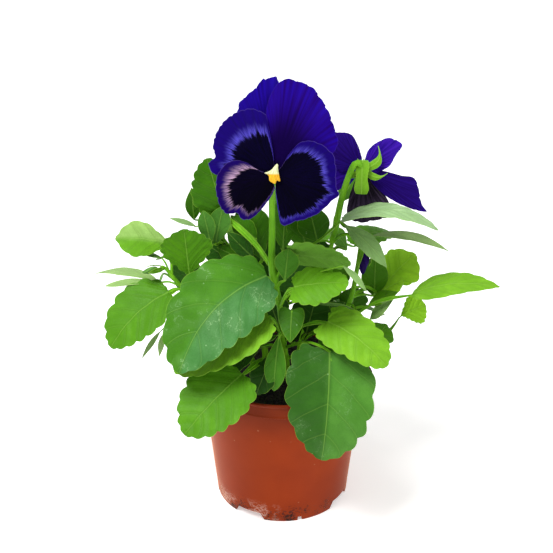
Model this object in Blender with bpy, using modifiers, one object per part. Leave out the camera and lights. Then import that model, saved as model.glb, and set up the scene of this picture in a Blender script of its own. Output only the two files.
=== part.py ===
"""A pansy in a round plastic nursery pot.

The frame is metres with +Z up. The origin lies on the pot's axis, on the ground that the pot stands on, and
the open face of the large bloom looks towards -Y. Every size and place below is in millimetres, and MM turns
it into metres.
"""

import math
from dataclasses import dataclass

import bmesh
import bpy
import numpy as np
from mathutils import Matrix, Vector, noise

MM = 0.001

# Pot: a thin moulded wall that tapers down to a skirt of feet, with a banded rim.
RIM_RADIUS = 50.0
POT_HEIGHT = 89.0
FOOT_RADIUS = 40.4
POT_WALL = 1.3
RIM_BAND = 9.0
RIM_STEP = 1.4
RIM_BEAD = 0.6
FLOOR_HEIGHT = 6.5
FLOOR_THICKNESS = 1.5
DRAIN_HOLES = 6
DRAIN_HOLE_RADIUS = 3.5
DRAIN_CIRCLE_RADIUS = 27.0
QUARTERS = 4
NOTCH_AT = -30.0
NOTCH_WIDTH = 15.0
NOTCH_FLARE = 3.0
NOTCH_HEIGHT = 4.6
SLIT_AT = 15.0
SLIT_WIDTH = 2.4
SLIT_HEIGHT = 2.6
POT_STEPS = 32

# Soil: one crumbly body that fills the pot, a little proud in the middle.
GAP = 0.35
SOIL_EDGE = 81.5
SOIL_MOUND = 3.0
SOIL_LUMP = 1.3
SOIL_RINGS = 4
SOIL_LUMP_FREQUENCY = 0.13
SOIL_GRAIN_FREQUENCY = 0.3
SOIL_GRAIN_SHARE = 0.5
SOIL_EDGE_CALM = 0.6
STEM_HOLE_SPARE = 0.45
ROOT_HEIGHT = 62.0

# Leaves and petals.
BLADE_THICKNESS = 0.7
PETAL_THICKNESS = 0.7
LEAST_HALF_WIDTH = 0.5
STALK_RADIUS = 1.1
STALK_REACH = 0.12
FULL_REACH = 40.0
SPREAD_OVER = 20.0
PETAL_RINGS = 3
PETAL_START = 0.12
CURVE_SIDES = {4: 0, 6: 1, 8: 2}

TERRACOTTA = (0.45, 0.11, 0.045)
SOIL_BLACK = (0.012, 0.012, 0.014)
LEAF_GREEN = (0.12, 0.36, 0.035)
VIOLET = (0.045, 0.006, 0.35)
INK_VIOLET = (0.012, 0.002, 0.06)
EYE_YELLOW = (0.90, 0.50, 0.03)
WITHERED = (0.02, 0.015, 0.012)

# What a blade's upper face turns towards: the sky, or the front where a leaf stands upright.
SKY = (0.0, 0.0, 1.0)
FRONT = (0.0, -1.0, 0.35)


@dataclass
class LeafKind:
    """How a blade's outline runs from its base to its tip, and how it is cut."""

    widest: float
    roundness: float
    heart: float
    teeth: int
    bite: float
    along: int
    across: int


KINDS = {
    "heart": LeafKind(widest=0.46, roundness=0.55, heart=0.20, teeth=5, bite=0.08, along=10, across=4),
    "oval": LeafKind(widest=0.47, roundness=0.62, heart=0.05, teeth=4, bite=0.07, along=8, across=4),
    "spoon": LeafKind(widest=0.60, roundness=0.75, heart=0.00, teeth=3, bite=0.06, along=6, across=2),
    "fan": LeafKind(widest=0.66, roundness=0.62, heart=0.00, teeth=4, bite=0.06, along=8, across=4),
    "paddle": LeafKind(widest=0.60, roundness=0.75, heart=0.00, teeth=0, bite=0.00, along=5, across=2),
    "slim": LeafKind(widest=0.48, roundness=0.90, heart=0.00, teeth=3, bite=0.05, along=6, across=2),
    "lance": LeafKind(widest=0.45, roundness=1.00, heart=0.00, teeth=0, bite=0.00, along=4, across=2),
}


@dataclass
class Leaf:
    """One leaf: where its blade starts and ends, how wide it is, and how it bends.

    root is how far up its stem the leaf stalk leaves, from 0 at the stem's buried end to 1 at its top, and
    via holds points that the leaf stalk runs through. arch lifts the middle of the blade, sweep bends it
    sideways, fold raises its two halves, cup lowers its margin, and wave makes the margin undulate.
    """

    name: str
    kind: str
    root: float
    base: tuple
    tip: tuple
    width: float
    roll: float = 0.0
    arch: float = 0.0
    sweep: float = 0.0
    fold: float = 0.0
    cup: float = 0.0
    wave: float = 0.0
    rise: float = 0.12
    via: tuple = ()
    faces: tuple = SKY


@dataclass
class FlowerStalk:
    """A flower's stalk: where on the stem it leaves, and the points it runs through to the flower's back."""

    root: float
    path: tuple


@dataclass
class Shoot:
    """A stem: the points that its middle line runs through, its radius at both ends, and its leaves."""

    name: str
    path: tuple
    radius: tuple
    leaves: tuple
    flower: FlowerStalk | None = None


@dataclass
class Petal:
    """One petal: its free edge, given from the throat, the way its veins set out, and its ruffle."""

    name: str
    edge: tuple
    axis: float
    layer: float
    fan: float = 0.2
    ruffle: float = 0.6
    waves: float = 3.0
    phase: float = 0.0


@dataclass
class Sepal:
    """One green sepal: its turn about the bloom's axis, its length and width, and its lobe behind."""

    turn: float
    length: float
    width: float
    lobe: float


@dataclass
class Bloom:
    """A flower: its throat, the way it faces, its up direction, its dishing, its petals and its sepals."""

    throat: tuple
    face: tuple
    up: tuple
    dish: float
    petals: tuple
    sepals: tuple


@dataclass
class Bud:
    """A bud: its shoot, its stalk, the line and radii of its furled petals, and the sepals that hold them.

    sepals holds the sepals' angles about the bud, and reach is the share of the bud that they cover.
    """

    name: str
    shoot: str
    root: float
    stalk: tuple
    line: tuple
    radii: tuple
    sepals: tuple
    sepal_width: float
    reach: float


SHOOTS = (
    Shoot(
        "shoot_front",
        ((2, -6), (2, -9, 92), (0, -21, 116), (-1, -25, 134), (-4, -20, 154), (-6, -14, 172)),
        (2.6, 1.4),
        (
            Leaf("big_left", "oval", 0.66, (-9, -23, 159), (-57, -64, 120), 50,
                 roll=-30, arch=12, sweep=16, fold=4, wave=0.8),
            Leaf("under_left", "oval", 0.50, (-8, -34, 139), (-61, -50, 112), 40, roll=-20, arch=6, fold=4),
            Leaf("front_right", "heart", 0.42, (26, -50, 125), (22, -67, 64), 53, arch=10, fold=-8, sweep=-4,
                 wave=0.8),
            Leaf("front_left", "oval", 0.28, (-23, -47, 109), (-55, -71, 84), 42, roll=-20, arch=6, fold=6),
            Leaf("low_dark", "spoon", 0.36, (-4, -34, 116), (-15, -44, 93), 18, roll=-10, arch=3),
            Leaf("low_right", "spoon", 0.30, (21, -15, 106), (36, -19, 121), 20, arch=2, faces=FRONT),
            Leaf("low_dark_left", "spoon", 0.38, (-12, -28, 116), (-39, -38, 105), 20, roll=-15, arch=3),
            Leaf("paddle", "paddle", 0.50, (-2, -37, 129), (-5, -46, 97), 13, arch=4),
            Leaf("arrow", "lance", 0.56, (5, -32, 142), (4, -46, 129), 15, arch=2),
            Leaf("tiny_left", "lance", 0.49, (-3, -34, 127), (-13, -40, 125), 5),
            Leaf("front_right_high", "heart", 0.47, (25, -38, 138), (57, -62, 123), 30, roll=22, arch=6,
                 sweep=-3),
            Leaf("curly", "heart", 0.70, (6, -38, 160), (36, -43, 165), 27, roll=22, arch=3, cup=2),
            Leaf("stipule", "lance", 0.72, (33, -36, 172), (46, -44, 160), 6, arch=2),
            Leaf("over_curly", "heart", 0.84, (5, -20, 171), (38, -26, 168), 30, roll=-55, arch=3),
            Leaf("middle", "paddle", 0.80, (1, -27, 158), (3, -25, 177), 14, arch=1, faces=FRONT),
            Leaf("upper_left", "oval", 0.88, (-34, 4, 185), (-43, 9, 217), 30, arch=2, faces=FRONT, roll=10,
                 via=((-16, -6, 171),)),
            Leaf("right_high", "oval", 0.93, (33, -14, 190), (86, -22, 187), 22, roll=-4, arch=17,
                 via=((18, -12, 174),)),
            Leaf("fill_mid", "spoon", 0.34, (-1, -4, 111), (-9, -3, 137), 20, arch=1, faces=FRONT),
        ),
        FlowerStalk(
            0.72, ((-6, -19, 160), (-6, -24, 190), (-6, -31, 214), (-5, -34.5, 224), (-4.6, -37, 227.5))
        ),
    ),
    Shoot(
        "shoot_left",
        ((-16, -8), (-17, -9, 92), (-28, -12, 112), (-44, -10, 130), (-58, -6, 142), (-67, -2, 152)),
        (2.3, 1.1),
        (
            Leaf("left_low", "oval", 0.86, (-66, -7, 143), (-98, -26, 116), 40, roll=-22, arch=8,
                 sweep=4, fold=4),
            Leaf("left_strap", "slim", 0.90, (-75, 28, 128), (-120, 62, 115), 14, roll=5, arch=9,
                 via=((-70, 12, 142),)),
            Leaf("left_lance", "paddle", 0.88, (-73, -1, 143), (-104, 2, 139), 9, arch=3),
            Leaf("left_back", "spoon", 0.96, (-69, 10, 160), (-96, 6, 168), 24, roll=-25, arch=5),
            Leaf("left_inner", "lance", 0.98, (-70, 3, 157), (-86, 0, 163), 7, arch=1),
            Leaf("left_round", "fan", 0.80, (-53, -15, 154), (-56, -8, 181), 31, arch=-2, fold=6,
                 faces=FRONT),
            Leaf("left_tuft", "lance", 0.74, (-72, -8, 114), (-83, -14, 99), 5, arch=1,
                 via=((-62, -8, 124),)),
            Leaf("left_tuft_low", "lance", 0.72, (-70, -7, 112), (-73, -10, 98), 5, arch=1,
                 via=((-60, -8, 122),)),
            Leaf("fill_left", "spoon", 0.66, (-49, 8, 125), (-61, 10, 138), 18, arch=1, faces=FRONT),
        ),
    ),
    Shoot(
        "shoot_right",
        ((17, -6), (18, -7, 92), (30, -7, 112), (39, -3, 130), (43, 0, 150), (45, 3, 166)),
        (2.3, 1.2),
        (
            Leaf("right_long", "oval", 0.48, (74, -18, 145), (120, -38, 160), 24, roll=12, arch=9),
            Leaf("right_mid", "slim", 0.97, (51, 4, 171), (95, -4, 165), 12, arch=9),
            Leaf("right_round", "spoon", 0.72, (63, 14, 135), (80, 20, 151), 20, roll=25, arch=3,
                 via=((52, 10, 134),)),
            Leaf("right_oval", "paddle", 0.76, (60, 5, 134), (73, 2, 146), 11, arch=1, roll=35),
            Leaf("right_small", "fan", 0.30, (71, 4, 116), (84, 6, 127), 17, roll=40, arch=1,
                 via=((58, 2, 104),)),
            Leaf("right_pale", "lance", 0.52, (51, -9, 123), (64, -12, 138), 10, roll=30, arch=2),
            Leaf("right_green", "lance", 0.60, (52, -3, 131), (69, -1, 137), 9, arch=2),
            Leaf("right_dark", "spoon", 0.42, (52, -9, 116), (66, -6, 114), 15, arch=2),
            Leaf("shade", "paddle", 0.66, (42, -16, 133), (12, -29, 146), 13, roll=30, arch=2),
            Leaf("right_up", "lance", 0.70, (53, -5, 131), (49, -4, 149), 7, arch=1, faces=FRONT),
            Leaf("fill_right_low", "spoon", 0.28, (36, 1, 99), (47, 1, 116), 16, arch=1, faces=FRONT),
        ),
    ),
    Shoot(
        "shoot_back_left",
        ((-10, 12), (-11, 13, 92), (-16, 14, 118), (-22, 13, 142), (-33, 12, 162), (-43, 12, 176)),
        (2.2, 1.1),
        (
            Leaf("upper_slim", "lance", 0.97, (-51, 8, 179), (-52, 9, 199), 9, arch=1, faces=FRONT),
            Leaf("upper_tiny", "lance", 0.95, (-50, 6, 176), (-65, 6, 181), 7, arch=1),
            Leaf("spatula_right", "paddle", 0.86, (-39, 1, 166), (-34, 1, 191), 13, arch=1, faces=FRONT),
            Leaf("spatula_left", "paddle", 0.84, (-41, -3, 168), (-45, -3, 190), 10, arch=1, faces=FRONT),
            Leaf("inner_left_high", "slim", 0.74, (-15, 4, 168), (-30, 8, 182), 13, arch=2, faces=FRONT),
            Leaf("inner_left", "slim", 0.66, (-17, 1, 158), (-32, -1, 176), 11, arch=2, faces=FRONT),
            Leaf("inner_left_low", "slim", 0.62, (-19, 4, 153), (-38, 5, 163), 14, arch=2, faces=FRONT),
            Leaf("inner_low_left", "spoon", 0.26, (-16, 9, 96), (-24, 6, 128), 28, arch=2, faces=FRONT),
            Leaf("inner_edge_left", "spoon", 0.25, (-22, 7, 93), (-38, 3, 110), 20, arch=2, faces=FRONT),
            Leaf("behind_left", "oval", 0.74, (-44, 28, 146), (-76, 46, 134), 34, roll=10, arch=8),
            Leaf("behind_left_low", "oval", 0.42, (-36, 26, 112), (-58, 48, 90), 34, arch=8),
            Leaf("behind_left_high", "spoon", 0.88, (-36, 24, 176), (-48, 42, 192), 20, arch=3),
            Leaf("fill_gap", "spoon", 0.62, (-12, 9, 152), (-21, 10, 181), 18, arch=1, faces=FRONT),
            Leaf("fill_dark", "spoon", 0.64, (-29, 5, 154), (-46, 7, 165), 15, arch=1, faces=FRONT),
        ),
    ),
    Shoot(
        "shoot_back_right",
        ((10, 10), (11, 12, 92), (18, 12, 120), (25, 10, 145), (29, 6, 168), (30, 1, 184)),
        (2.2, 1.1),
        (
            Leaf("right_lined", "slim", 0.98, (35, -3, 181), (59, -15, 160), 11, roll=30, arch=9),
            Leaf("inner_right", "paddle", 0.80, (38, 12, 158), (28, 16, 170), 14, arch=1),
            Leaf("inner_high", "lance", 0.84, (20, 2, 168), (14, -4, 196), 13, arch=1, faces=FRONT),
            Leaf("inner_mid", "lance", 0.76, (14, 4, 160), (6, 2, 190), 12, arch=1, faces=FRONT),
            Leaf("inner_low_right", "spoon", 0.26, (14, 6, 104), (20, 4, 132), 25, arch=2, faces=FRONT),
            Leaf("inner_centre", "spoon", 0.48, (10, 2, 130), (6, -1, 156), 24, arch=2, faces=FRONT),
            Leaf("inner_edge_right", "spoon", 0.27, (27, 6, 106), (37, 6, 126), 18, arch=2, faces=FRONT),
            Leaf("inner_centre_right", "spoon", 0.52, (24, 5, 133), (30, 4, 156), 22, arch=2, faces=FRONT),
            Leaf("behind_right", "oval", 0.78, (44, 30, 156), (70, 50, 156), 30, arch=8),
            Leaf("behind_right_low", "oval", 0.44, (36, 26, 114), (60, 48, 94), 34, arch=8),
            Leaf("behind_right_high", "spoon", 0.92, (34, 20, 184), (46, 38, 198), 20, arch=3),
            Leaf("fill_stalk", "spoon", 0.62, (0, 3, 161), (1, 3, 185), 13, arch=1, faces=FRONT),
            Leaf("fill_right", "spoon", 0.28, (41, 11, 112), (43, 11, 134), 14, arch=1, faces=FRONT),
            Leaf("fill_low", "spoon", 0.24, (6, 14, 93), (6, 13, 116), 26, arch=1, faces=FRONT),
        ),
        FlowerStalk(
            0.86,
            (
                (30, -1, 178), (33, -4, 198), (37, -6, 214), (40, -7, 221), (42.8, -6, 219.5),
                (44.1, -3.8, 216),
            ),
        ),
    ),
    Shoot(
        "shoot_back",
        ((0, 22), (0, 24, 92), (3, 32, 114), (2, 38, 136), (-2, 40, 156)),
        (2.2, 1.2),
        (
            Leaf("rear_left_low", "heart", 0.34, (-14, 44, 110), (-30, 72, 82), 38, arch=6),
            Leaf("rear_right_low", "heart", 0.38, (18, 44, 112), (34, 72, 84), 38, arch=6),
            Leaf("rear_middle", "oval", 0.62, (2, 50, 136), (2, 75, 112), 34, arch=8),
            Leaf("rear_left_high", "oval", 0.82, (-14, 48, 150), (-36, 66, 148), 28, arch=6),
            Leaf("rear_right_high", "oval", 0.78, (16, 48, 148), (36, 66, 142), 28, arch=6),
            Leaf("backdrop_left", "oval", 0.44, (-10, 26, 116), (-15, 19, 170), 44, arch=-3, faces=FRONT),
            Leaf("backdrop_right", "oval", 0.52, (17, 26, 114), (22, 20, 160), 42, arch=-3, faces=FRONT),
            Leaf("rear_top", "spoon", 0.97, (-2, 44, 164), (4, 56, 186), 22, arch=2),
        ),
    ),
)

MAIN_BLOOM = Bloom(
    throat=(-4.6, -40.0, 228.7),
    face=(0.0, -0.93, 0.36),
    up=(0.0, 0.36, 0.93),
    dish=-0.0022,
    petals=(
        Petal(
            "petal_upper_left",
            (
                (-14, 12), (-20, 20), (-22, 28), (-19.5, 34), (-18.5, 38), (-14, 42), (-9.5, 46),
                (-6.5, 50), (-3, 50.5), (0.8, 51.3), (3, 46), (5.5, 38), (6.8, 24), (5.4, 12),
            ),
            axis=100, layer=0.0,
        ),
        Petal(
            "petal_upper_right",
            (
                (-3.5, 12), (-5, 24), (-4, 36), (-1, 44), (2.5, 48.2), (6, 50), (10.5, 49.5), (15, 48),
                (20, 45.5), (24, 40.5), (27.5, 35), (30, 29), (32, 23), (33.5, 18), (33, 14), (29, 9),
            ),
            axis=70, layer=2.2,
        ),
        Petal(
            "petal_side_left",
            (
                (-26, -0.4), (-32, 0.2), (-35, 5.5), (-31.5, 9), (-32.5, 14.5), (-31, 21), (-27, 27.5),
                (-20, 32.5), (-12.5, 34.5), (-5.5, 32), (-4, 29), (-3.4, 25.5), (-2.4, 21), (-1, 13),
                (-0.4, 8),
            ),
            axis=135, layer=4.4,
        ),
        Petal(
            "petal_side_right",
            (
                (0.4, -8), (0.9, -13), (1.8, -19), (4, -27), (11, -25), (17, -23.5), (24, -20), (30, -14.5),
                (34, -10.8), (32.5, -6), (32.5, 2), (31, 10), (25, 15.5), (19, 17.5), (13, 16.5), (7, 10),
            ),
            axis=-30, layer=4.4,
        ),
        Petal(
            "petal_lip",
            (
                (-14, 6), (-19.5, 7.5), (-25, 6), (-30, 0), (-31, -7), (-29.5, -15), (-26, -20.5),
                (-19.5, -20.5), (-18, -23), (-14.5, -24), (-10, -21.5), (-5, -16), (-1.5, -11), (0.3, -7),
            ),
            axis=205, layer=6.6, fan=0.45,
        ),
    ),
    sepals=(
        Sepal(90, 14, 4.6, 5), Sepal(20, 13, 4.4, 4.5), Sepal(158, 13, 4.8, 5), Sepal(-48, 12, 4.2, 5.5),
        Sepal(232, 12, 4.4, 5),
    ),
)
EYE_EDGE = (
    (-5.5, 0.8), (-2, 2.4), (0.6, 6), (2.2, 1.5), (2.6, -3.8), (0.8, -3.4), (-0.4, -5.2), (-3, -3.6),
    (-3.8, -0.8),
)
EYE_DEPTH = (5.3, 6.2)

SIDE_BLOOM = Bloom(
    throat=(44.7, 0.0, 213.7),
    face=(0.12, 0.93, -0.34),
    up=(0.0, 0.34, 0.93),
    dish=0.002,
    petals=(
        Petal("side_petal_upper_left",
              ((-12, -1), (-22, 6), (-24, 14), (-20, 21), (-14, 21), (-7, 20), (-3, 14), (-0.6, 7)),
              axis=135, layer=0.0),
        Petal("side_petal_upper_right",
              ((1.0, 6), (2.8, 11), (7, 15), (14.5, 18), (21.8, 14.2), (18.7, 9), (14.5, 2), (7, -2)),
              axis=45, layer=0.0),
        Petal("side_petal_lower_left",
              ((-7, 4), (-16, 3), (-24, -2), (-25, -10), (-18, -13), (-7, -8)),
              axis=190, layer=2.0),
        Petal("side_petal_lower_right",
              ((7, 0.5), (14.5, -1.2), (22, -3.3), (29.4, -5.4), (33, -19), (35.8, -23.5), (25, -21.2),
               (13.4, -15.1), (5.5, -8)),
              axis=-33, layer=2.0),
        Petal("side_petal_bottom",
              ((-5, -7), (-8, -16), (-9, -26), (-3, -30), (6, -29), (15, -26), (14, -17.2), (6.4, -7)),
              axis=-85, layer=4.0),
    ),
    sepals=(
        Sepal(-96, 14, 7.5, 8), Sepal(48, 14, 4.2, 4), Sepal(-14, 12, 3.4, 3.5), Sepal(150, 9, 3.6, 4),
        Sepal(212, 10, 3.8, 3.5),
    ),
)

CALYX_DEPTH = 3.4
RECEPTACLE_RADIUS = 2.6
SEPAL_ROWS = 4
SEPAL_AIR = 1.0
SEPAL_SHARES = (0.30, 0.40, 0.50, 0.40, 0.0)
BUD_SEPAL_SHARES = (0.30, 0.48, 0.50, 0.36, 0.0)
NECK_RADIUS = 1.6

BUDS = (
    Bud("bud_right", "shoot_back_right", 0.84, ((34, -1, 174), (42, -3, 174), (46.4, -4, 171)),
        ((46.5, -4, 167), (46.5, -5, 163), (46, -6, 158), (46, -6.5, 153), (46, -6.5, 151)),
        (1.6, 3.4, 3.9, 2.2, 0.8), (0, 115, 235), 4.4, 0.85),
    Bud("bud_left", "shoot_left", 0.97, ((-68, -2.4, 153), (-69.5, -2.7, 153.4)),
        ((-72, -3, 153), (-75, -4, 153), (-78, -5, 152.5), (-81, -6, 152)),
        (1.0, 2.0, 1.7, 0.6), (60, 180, 300), 3.2, 0.75),
)

# Old scraps of leaf that lie over the rim, each as (radius, height) from the soil to the outside.
SCRAP_PATH = ((43.5, 85.6), (47.0, 90.2), (50.2, 90.4), (52.4, 88.6), (54.0, 84.6))
SCRAPS = {"scrap_left": (-78.0, 7.0), "scrap_right": (82.0, 6.0)}


def unit(v):
    """The vector at length 1."""
    v = np.asarray(v, float)
    return v / np.linalg.norm(v)


def smooth_line(points, count):
    """Count points spaced alike along a smooth line that runs through the given ones (Catmull-Rom)."""
    p = np.array(points, float)
    p = np.vstack([2 * p[0] - p[1], p, 2 * p[-1] - p[-2]])
    spans = len(p) - 3
    fine = []
    for u in np.linspace(0, spans, 12 * spans + 1):
        i = min(int(u), spans - 1)
        t = u - i
        a, b, c, d = p[i : i + 4]
        bend = (2 * a - 5 * b + 4 * c - d) * t**2 + (3 * b - a - 3 * c + d) * t**3
        fine.append(b + 0.5 * ((c - a) * t + bend))
    fine = np.array(fine)
    length = np.r_[0, np.cumsum(np.linalg.norm(np.diff(fine, axis=0), axis=1))]
    wanted = np.linspace(0, length[-1], count)
    return np.column_stack([np.interp(wanted, length, fine[:, k]) for k in range(fine.shape[1])])


class Blade:
    """The surface of one leaf, worked out from its few numbers."""

    def __init__(self, leaf):
        self.leaf = leaf
        self.kind = KINDS[leaf.kind]
        self.base = np.array(leaf.base, float)
        self.tip = np.array(leaf.tip, float)
        towards = unit(leaf.faces)
        along = unit(self.tip - self.base)
        facing = unit(towards - (towards @ along) * along)
        side = np.cross(along, facing)
        turn = math.radians(leaf.roll)
        self.facing = math.cos(turn) * facing + math.sin(turn) * side
        self.side = np.cross(along, self.facing)
        self.length = np.linalg.norm(self.tip - self.base)
        self.crest = (self.base + self.tip) / 2 + leaf.arch * self.facing + leaf.sweep * self.side

    def rib(self, t):
        """The middle rib's point and its direction at t, from 0 at the base to 1 at the tip."""
        point = (1 - t) ** 2 * self.base + 2 * t * (1 - t) * self.crest + t**2 * self.tip
        return point, unit((1 - t) * (self.crest - self.base) + t * (self.tip - self.crest))

    def frame(self, t):
        """The rib's point, its direction, the way across the blade and the way out of its upper face."""
        middle, along = self.rib(t)
        side = unit(self.side - (self.side @ along) * along)
        return middle, along, side, np.cross(side, along)

    def half_width(self, t, u):
        """Half the blade's width at t, with the scallops of its margin, which are even in u."""
        kind = self.kind
        power = math.log(0.5) / math.log(kind.widest)
        plain = self.leaf.width / 2 * math.sin(math.pi * t**power) ** kind.roundness if 0 < t < 1 else 0
        scallop = 1 - kind.bite * (1 - abs(math.sin(math.pi * kind.teeth * u)) ** 0.5)
        return max(plain * scallop, LEAST_HALF_WIDTH)

    def point(self, u, s):
        """The blade's point at u along it, 0 to 1, and s across it, -1 to 1."""
        leaf = self.leaf
        t = (1 - math.cos(math.pi * u)) / 2
        middle, along, side, normal = self.frame(t)
        reach = abs(s) * self.half_width(t, u)
        share = 2 * reach / leaf.width
        bend = math.radians(leaf.fold)
        back = self.kind.heart * self.length * share**2 * (1 - u) ** 2
        height = reach * math.sin(bend) - leaf.cup * share**2
        height += leaf.wave * math.sin(4 * math.pi * u + (1.3 if s > 0 else 0)) * share**2
        return middle + math.copysign(reach * math.cos(bend), s) * side + height * normal - back * along

    def grid(self, along, across):
        """The blade's points as rows from base to tip."""
        return [
            [self.point(i / along, 2 * j / across - 1) for j in range(across + 1)] for i in range(along + 1)
        ]


class PetalSheet:
    """The surface of one petal, worked out from its edge."""

    def __init__(self, bloom, petal):
        self.bloom = bloom
        self.petal = petal
        self.throat = np.array(bloom.throat, float)
        self.face = unit(bloom.face)
        self.right = unit(np.cross(np.array(bloom.up, float), self.face))
        if self.right[0] < 0:
            self.right = -self.right
        self.up = unit(bloom.up)

    def place(self, x, y, depth):
        """The point x to the right, y up and depth out of the bloom's face."""
        return self.throat + x * self.right + y * self.up + depth * self.face

    def grid(self, along, rings):
        """The petal's points, in rows that run from one side to the other, from the throat outwards."""
        petal = self.petal
        edge = smooth_line(petal.edge, along + 1)
        axis = np.array([math.cos(math.radians(petal.axis)), math.sin(math.radians(petal.axis))])
        rows = []
        for i in range(rings + 1):
            k = PETAL_START + (1 - PETAL_START) * i / rings
            row = []
            for j, end in enumerate(edge):
                control = 0.45 * np.linalg.norm(end) * unit((1 - petal.fan) * unit(end) + petal.fan * axis)
                x, y = 2 * k * (1 - k) * control + k * k * end
                out = math.hypot(x, y)
                depth = self.bloom.dish * out**2 + petal.layer * (0.55 + 0.45 * min(1, out / SPREAD_OVER))
                reach = np.linalg.norm(end) / FULL_REACH
                swell = math.sin(2 * math.pi * petal.waves * j / along + petal.phase)
                depth += petal.ruffle * reach**2 * k**3 * swell
                row.append(self.place(x, y, depth))
            rows.append(row)
        return rows


def clear_scene():
    """Removes every object, so that the script can run in any file."""
    for obj in list(bpy.data.objects):
        bpy.data.objects.remove(obj, do_unlink=True)


def new_collection(name):
    """A collection in the scene."""
    made = bpy.data.collections.new(name)
    bpy.context.scene.collection.children.link(made)
    return made


def new_material(name, colour, roughness):
    """A plain material with the piece's colour and roughness."""
    made = bpy.data.materials.new(name)
    made.use_nodes = True
    shader = made.node_tree.nodes["Principled BSDF"]
    shader.inputs["Base Color"].default_value = (*colour, 1.0)
    shader.inputs["Roughness"].default_value = roughness
    shader.inputs["Metallic"].default_value = 0.0
    made.diffuse_color = (*colour, 1.0)
    return made


def object_from(name, bm, collection):
    """The bmesh as an object in the collection, scaled from millimetres to metres."""
    bmesh.ops.scale(bm, vec=(MM, MM, MM), verts=bm.verts)
    mesh = bpy.data.meshes.new(name)
    bm.to_mesh(mesh)
    bm.free()
    obj = bpy.data.objects.new(name, mesh)
    collection.objects.link(obj)
    return obj


def sheet_object(name, rows, thickness, collection):
    """A sheet of this thickness through the rows of points, split into triangles alike on both faces."""
    bm = bmesh.new()
    verts = [[bm.verts.new(Vector(p)) for p in row] for row in rows]
    for lower, upper in zip(verts, verts[1:]):
        for j in range(len(lower) - 1):
            a, b, c, d = lower[j], lower[j + 1], upper[j + 1], upper[j]
            if 2 * j < len(lower) - 1:
                bm.faces.new((a, b, c))
                bm.faces.new((a, c, d))
            else:
                bm.faces.new((a, b, d))
                bm.faces.new((b, c, d))
    obj = object_from(name, bm, collection)
    solidify = obj.modifiers.new("thickness", "SOLIDIFY")
    solidify.thickness = thickness * MM
    solidify.offset = 0.0
    return obj


def tube_object(name, points, radii, sides, collection):
    """A round stem through the points, as a closed mesh. The radii are spread evenly along it."""
    curve = bpy.data.curves.new(name, "CURVE")
    curve.dimensions = "3D"
    curve.bevel_depth = MM
    curve.bevel_resolution = CURVE_SIDES[sides]
    curve.use_fill_caps = True
    spline = curve.splines.new("POLY")
    spline.points.add(len(points) - 1)
    shares = np.linspace(0, 1, len(points))
    known = np.linspace(0, 1, len(radii))
    for target, point, radius in zip(spline.points, points, np.interp(shares, known, radii)):
        target.co = (*(Vector(point) * MM), 1.0)
        target.radius = radius
    guide = bpy.data.objects.new(name + "_guide", curve)
    collection.objects.link(guide)
    graph = bpy.context.evaluated_depsgraph_get()
    mesh = bpy.data.meshes.new_from_object(guide.evaluated_get(graph))
    bpy.data.objects.remove(guide, do_unlink=True)
    bm = bmesh.new()
    bm.from_mesh(mesh)
    bmesh.ops.remove_doubles(bm, verts=bm.verts, dist=0.00001)
    bmesh.ops.recalc_face_normals(bm, faces=bm.faces)
    bm.to_mesh(mesh)
    bm.free()
    obj = bpy.data.objects.new(name, mesh)
    collection.objects.link(obj)
    return obj


def ball_object(name, centre, radius, collection):
    """A small ball."""
    bm = bmesh.new()
    bmesh.ops.create_icosphere(bm, subdivisions=1, radius=radius)
    bmesh.ops.translate(bm, vec=centre, verts=bm.verts)
    return object_from(name, bm, collection)


def joined(name, pieces, collection, material, operation="UNION", solver="EXACT"):
    """The first piece joined with, or cut by, the others, as one object. The others are removed."""
    body, *others = pieces
    helpers = bpy.data.collections.new(name + "_helpers")
    bpy.context.scene.collection.children.link(helpers)
    for other in others:
        for holder in list(other.users_collection):
            holder.objects.unlink(other)
        helpers.objects.link(other)
    boolean = body.modifiers.new("join", "BOOLEAN")
    boolean.operation = operation
    boolean.operand_type = "COLLECTION"
    boolean.collection = helpers
    boolean.solver = solver
    graph = bpy.context.evaluated_depsgraph_get()
    mesh = bpy.data.meshes.new_from_object(body.evaluated_get(graph))
    for piece in pieces:
        bpy.data.objects.remove(piece, do_unlink=True)
    bpy.data.collections.remove(helpers)
    made = bpy.data.objects.new(name, mesh)
    mesh.name = name
    mesh.materials.clear()
    mesh.materials.append(material)
    collection.objects.link(made)
    return made


def wall_radius(z):
    """The pot's outer radius at height z, below its rim band."""
    top = RIM_RADIUS - RIM_STEP
    return FOOT_RADIUS + (top - FOOT_RADIUS) * z / (POT_HEIGHT - RIM_BAND)


def turned_object(name, profile, collection):
    """A solid turned about the Z axis from a profile of (radius, height) points."""
    bm = bmesh.new()
    verts = [bm.verts.new((radius, 0, z)) for radius, z in profile]
    for a, b in zip(verts, verts[1:]):
        bm.edges.new((a, b))
    obj = object_from(name, bm, collection)
    screw = obj.modifiers.new("turn", "SCREW")
    screw.steps = POT_STEPS
    screw.render_steps = POT_STEPS
    screw.use_merge_vertices = True
    screw.merge_threshold = 0.00001
    return obj


def around(angle, radius):
    """The point at this radius and at this angle, in degrees, from straight ahead (-Y) towards +X."""
    turn = math.radians(angle)
    return radius * math.sin(turn), -radius * math.cos(turn)


def notch_cutter(name, angle, width, flare, height, collection):
    """A wedge through the skirt, wider at the ground than at its top by flare on each side."""
    bm = bmesh.new()
    bmesh.ops.create_cube(bm, size=1.0)
    for vert in bm.verts:
        spread = width / 2 + (flare if vert.co.z < 0 else 0)
        vert.co.x = math.copysign(spread, vert.co.x)
        vert.co.y = -FOOT_RADIUS + (6.0 if vert.co.y > 0 else -6.0)
        vert.co.z = -1.0 if vert.co.z < 0 else height
    bmesh.ops.rotate(bm, cent=(0, 0, 0), matrix=Matrix.Rotation(math.radians(angle), 3, "Z"), verts=bm.verts)
    return object_from(name, bm, collection)


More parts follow.
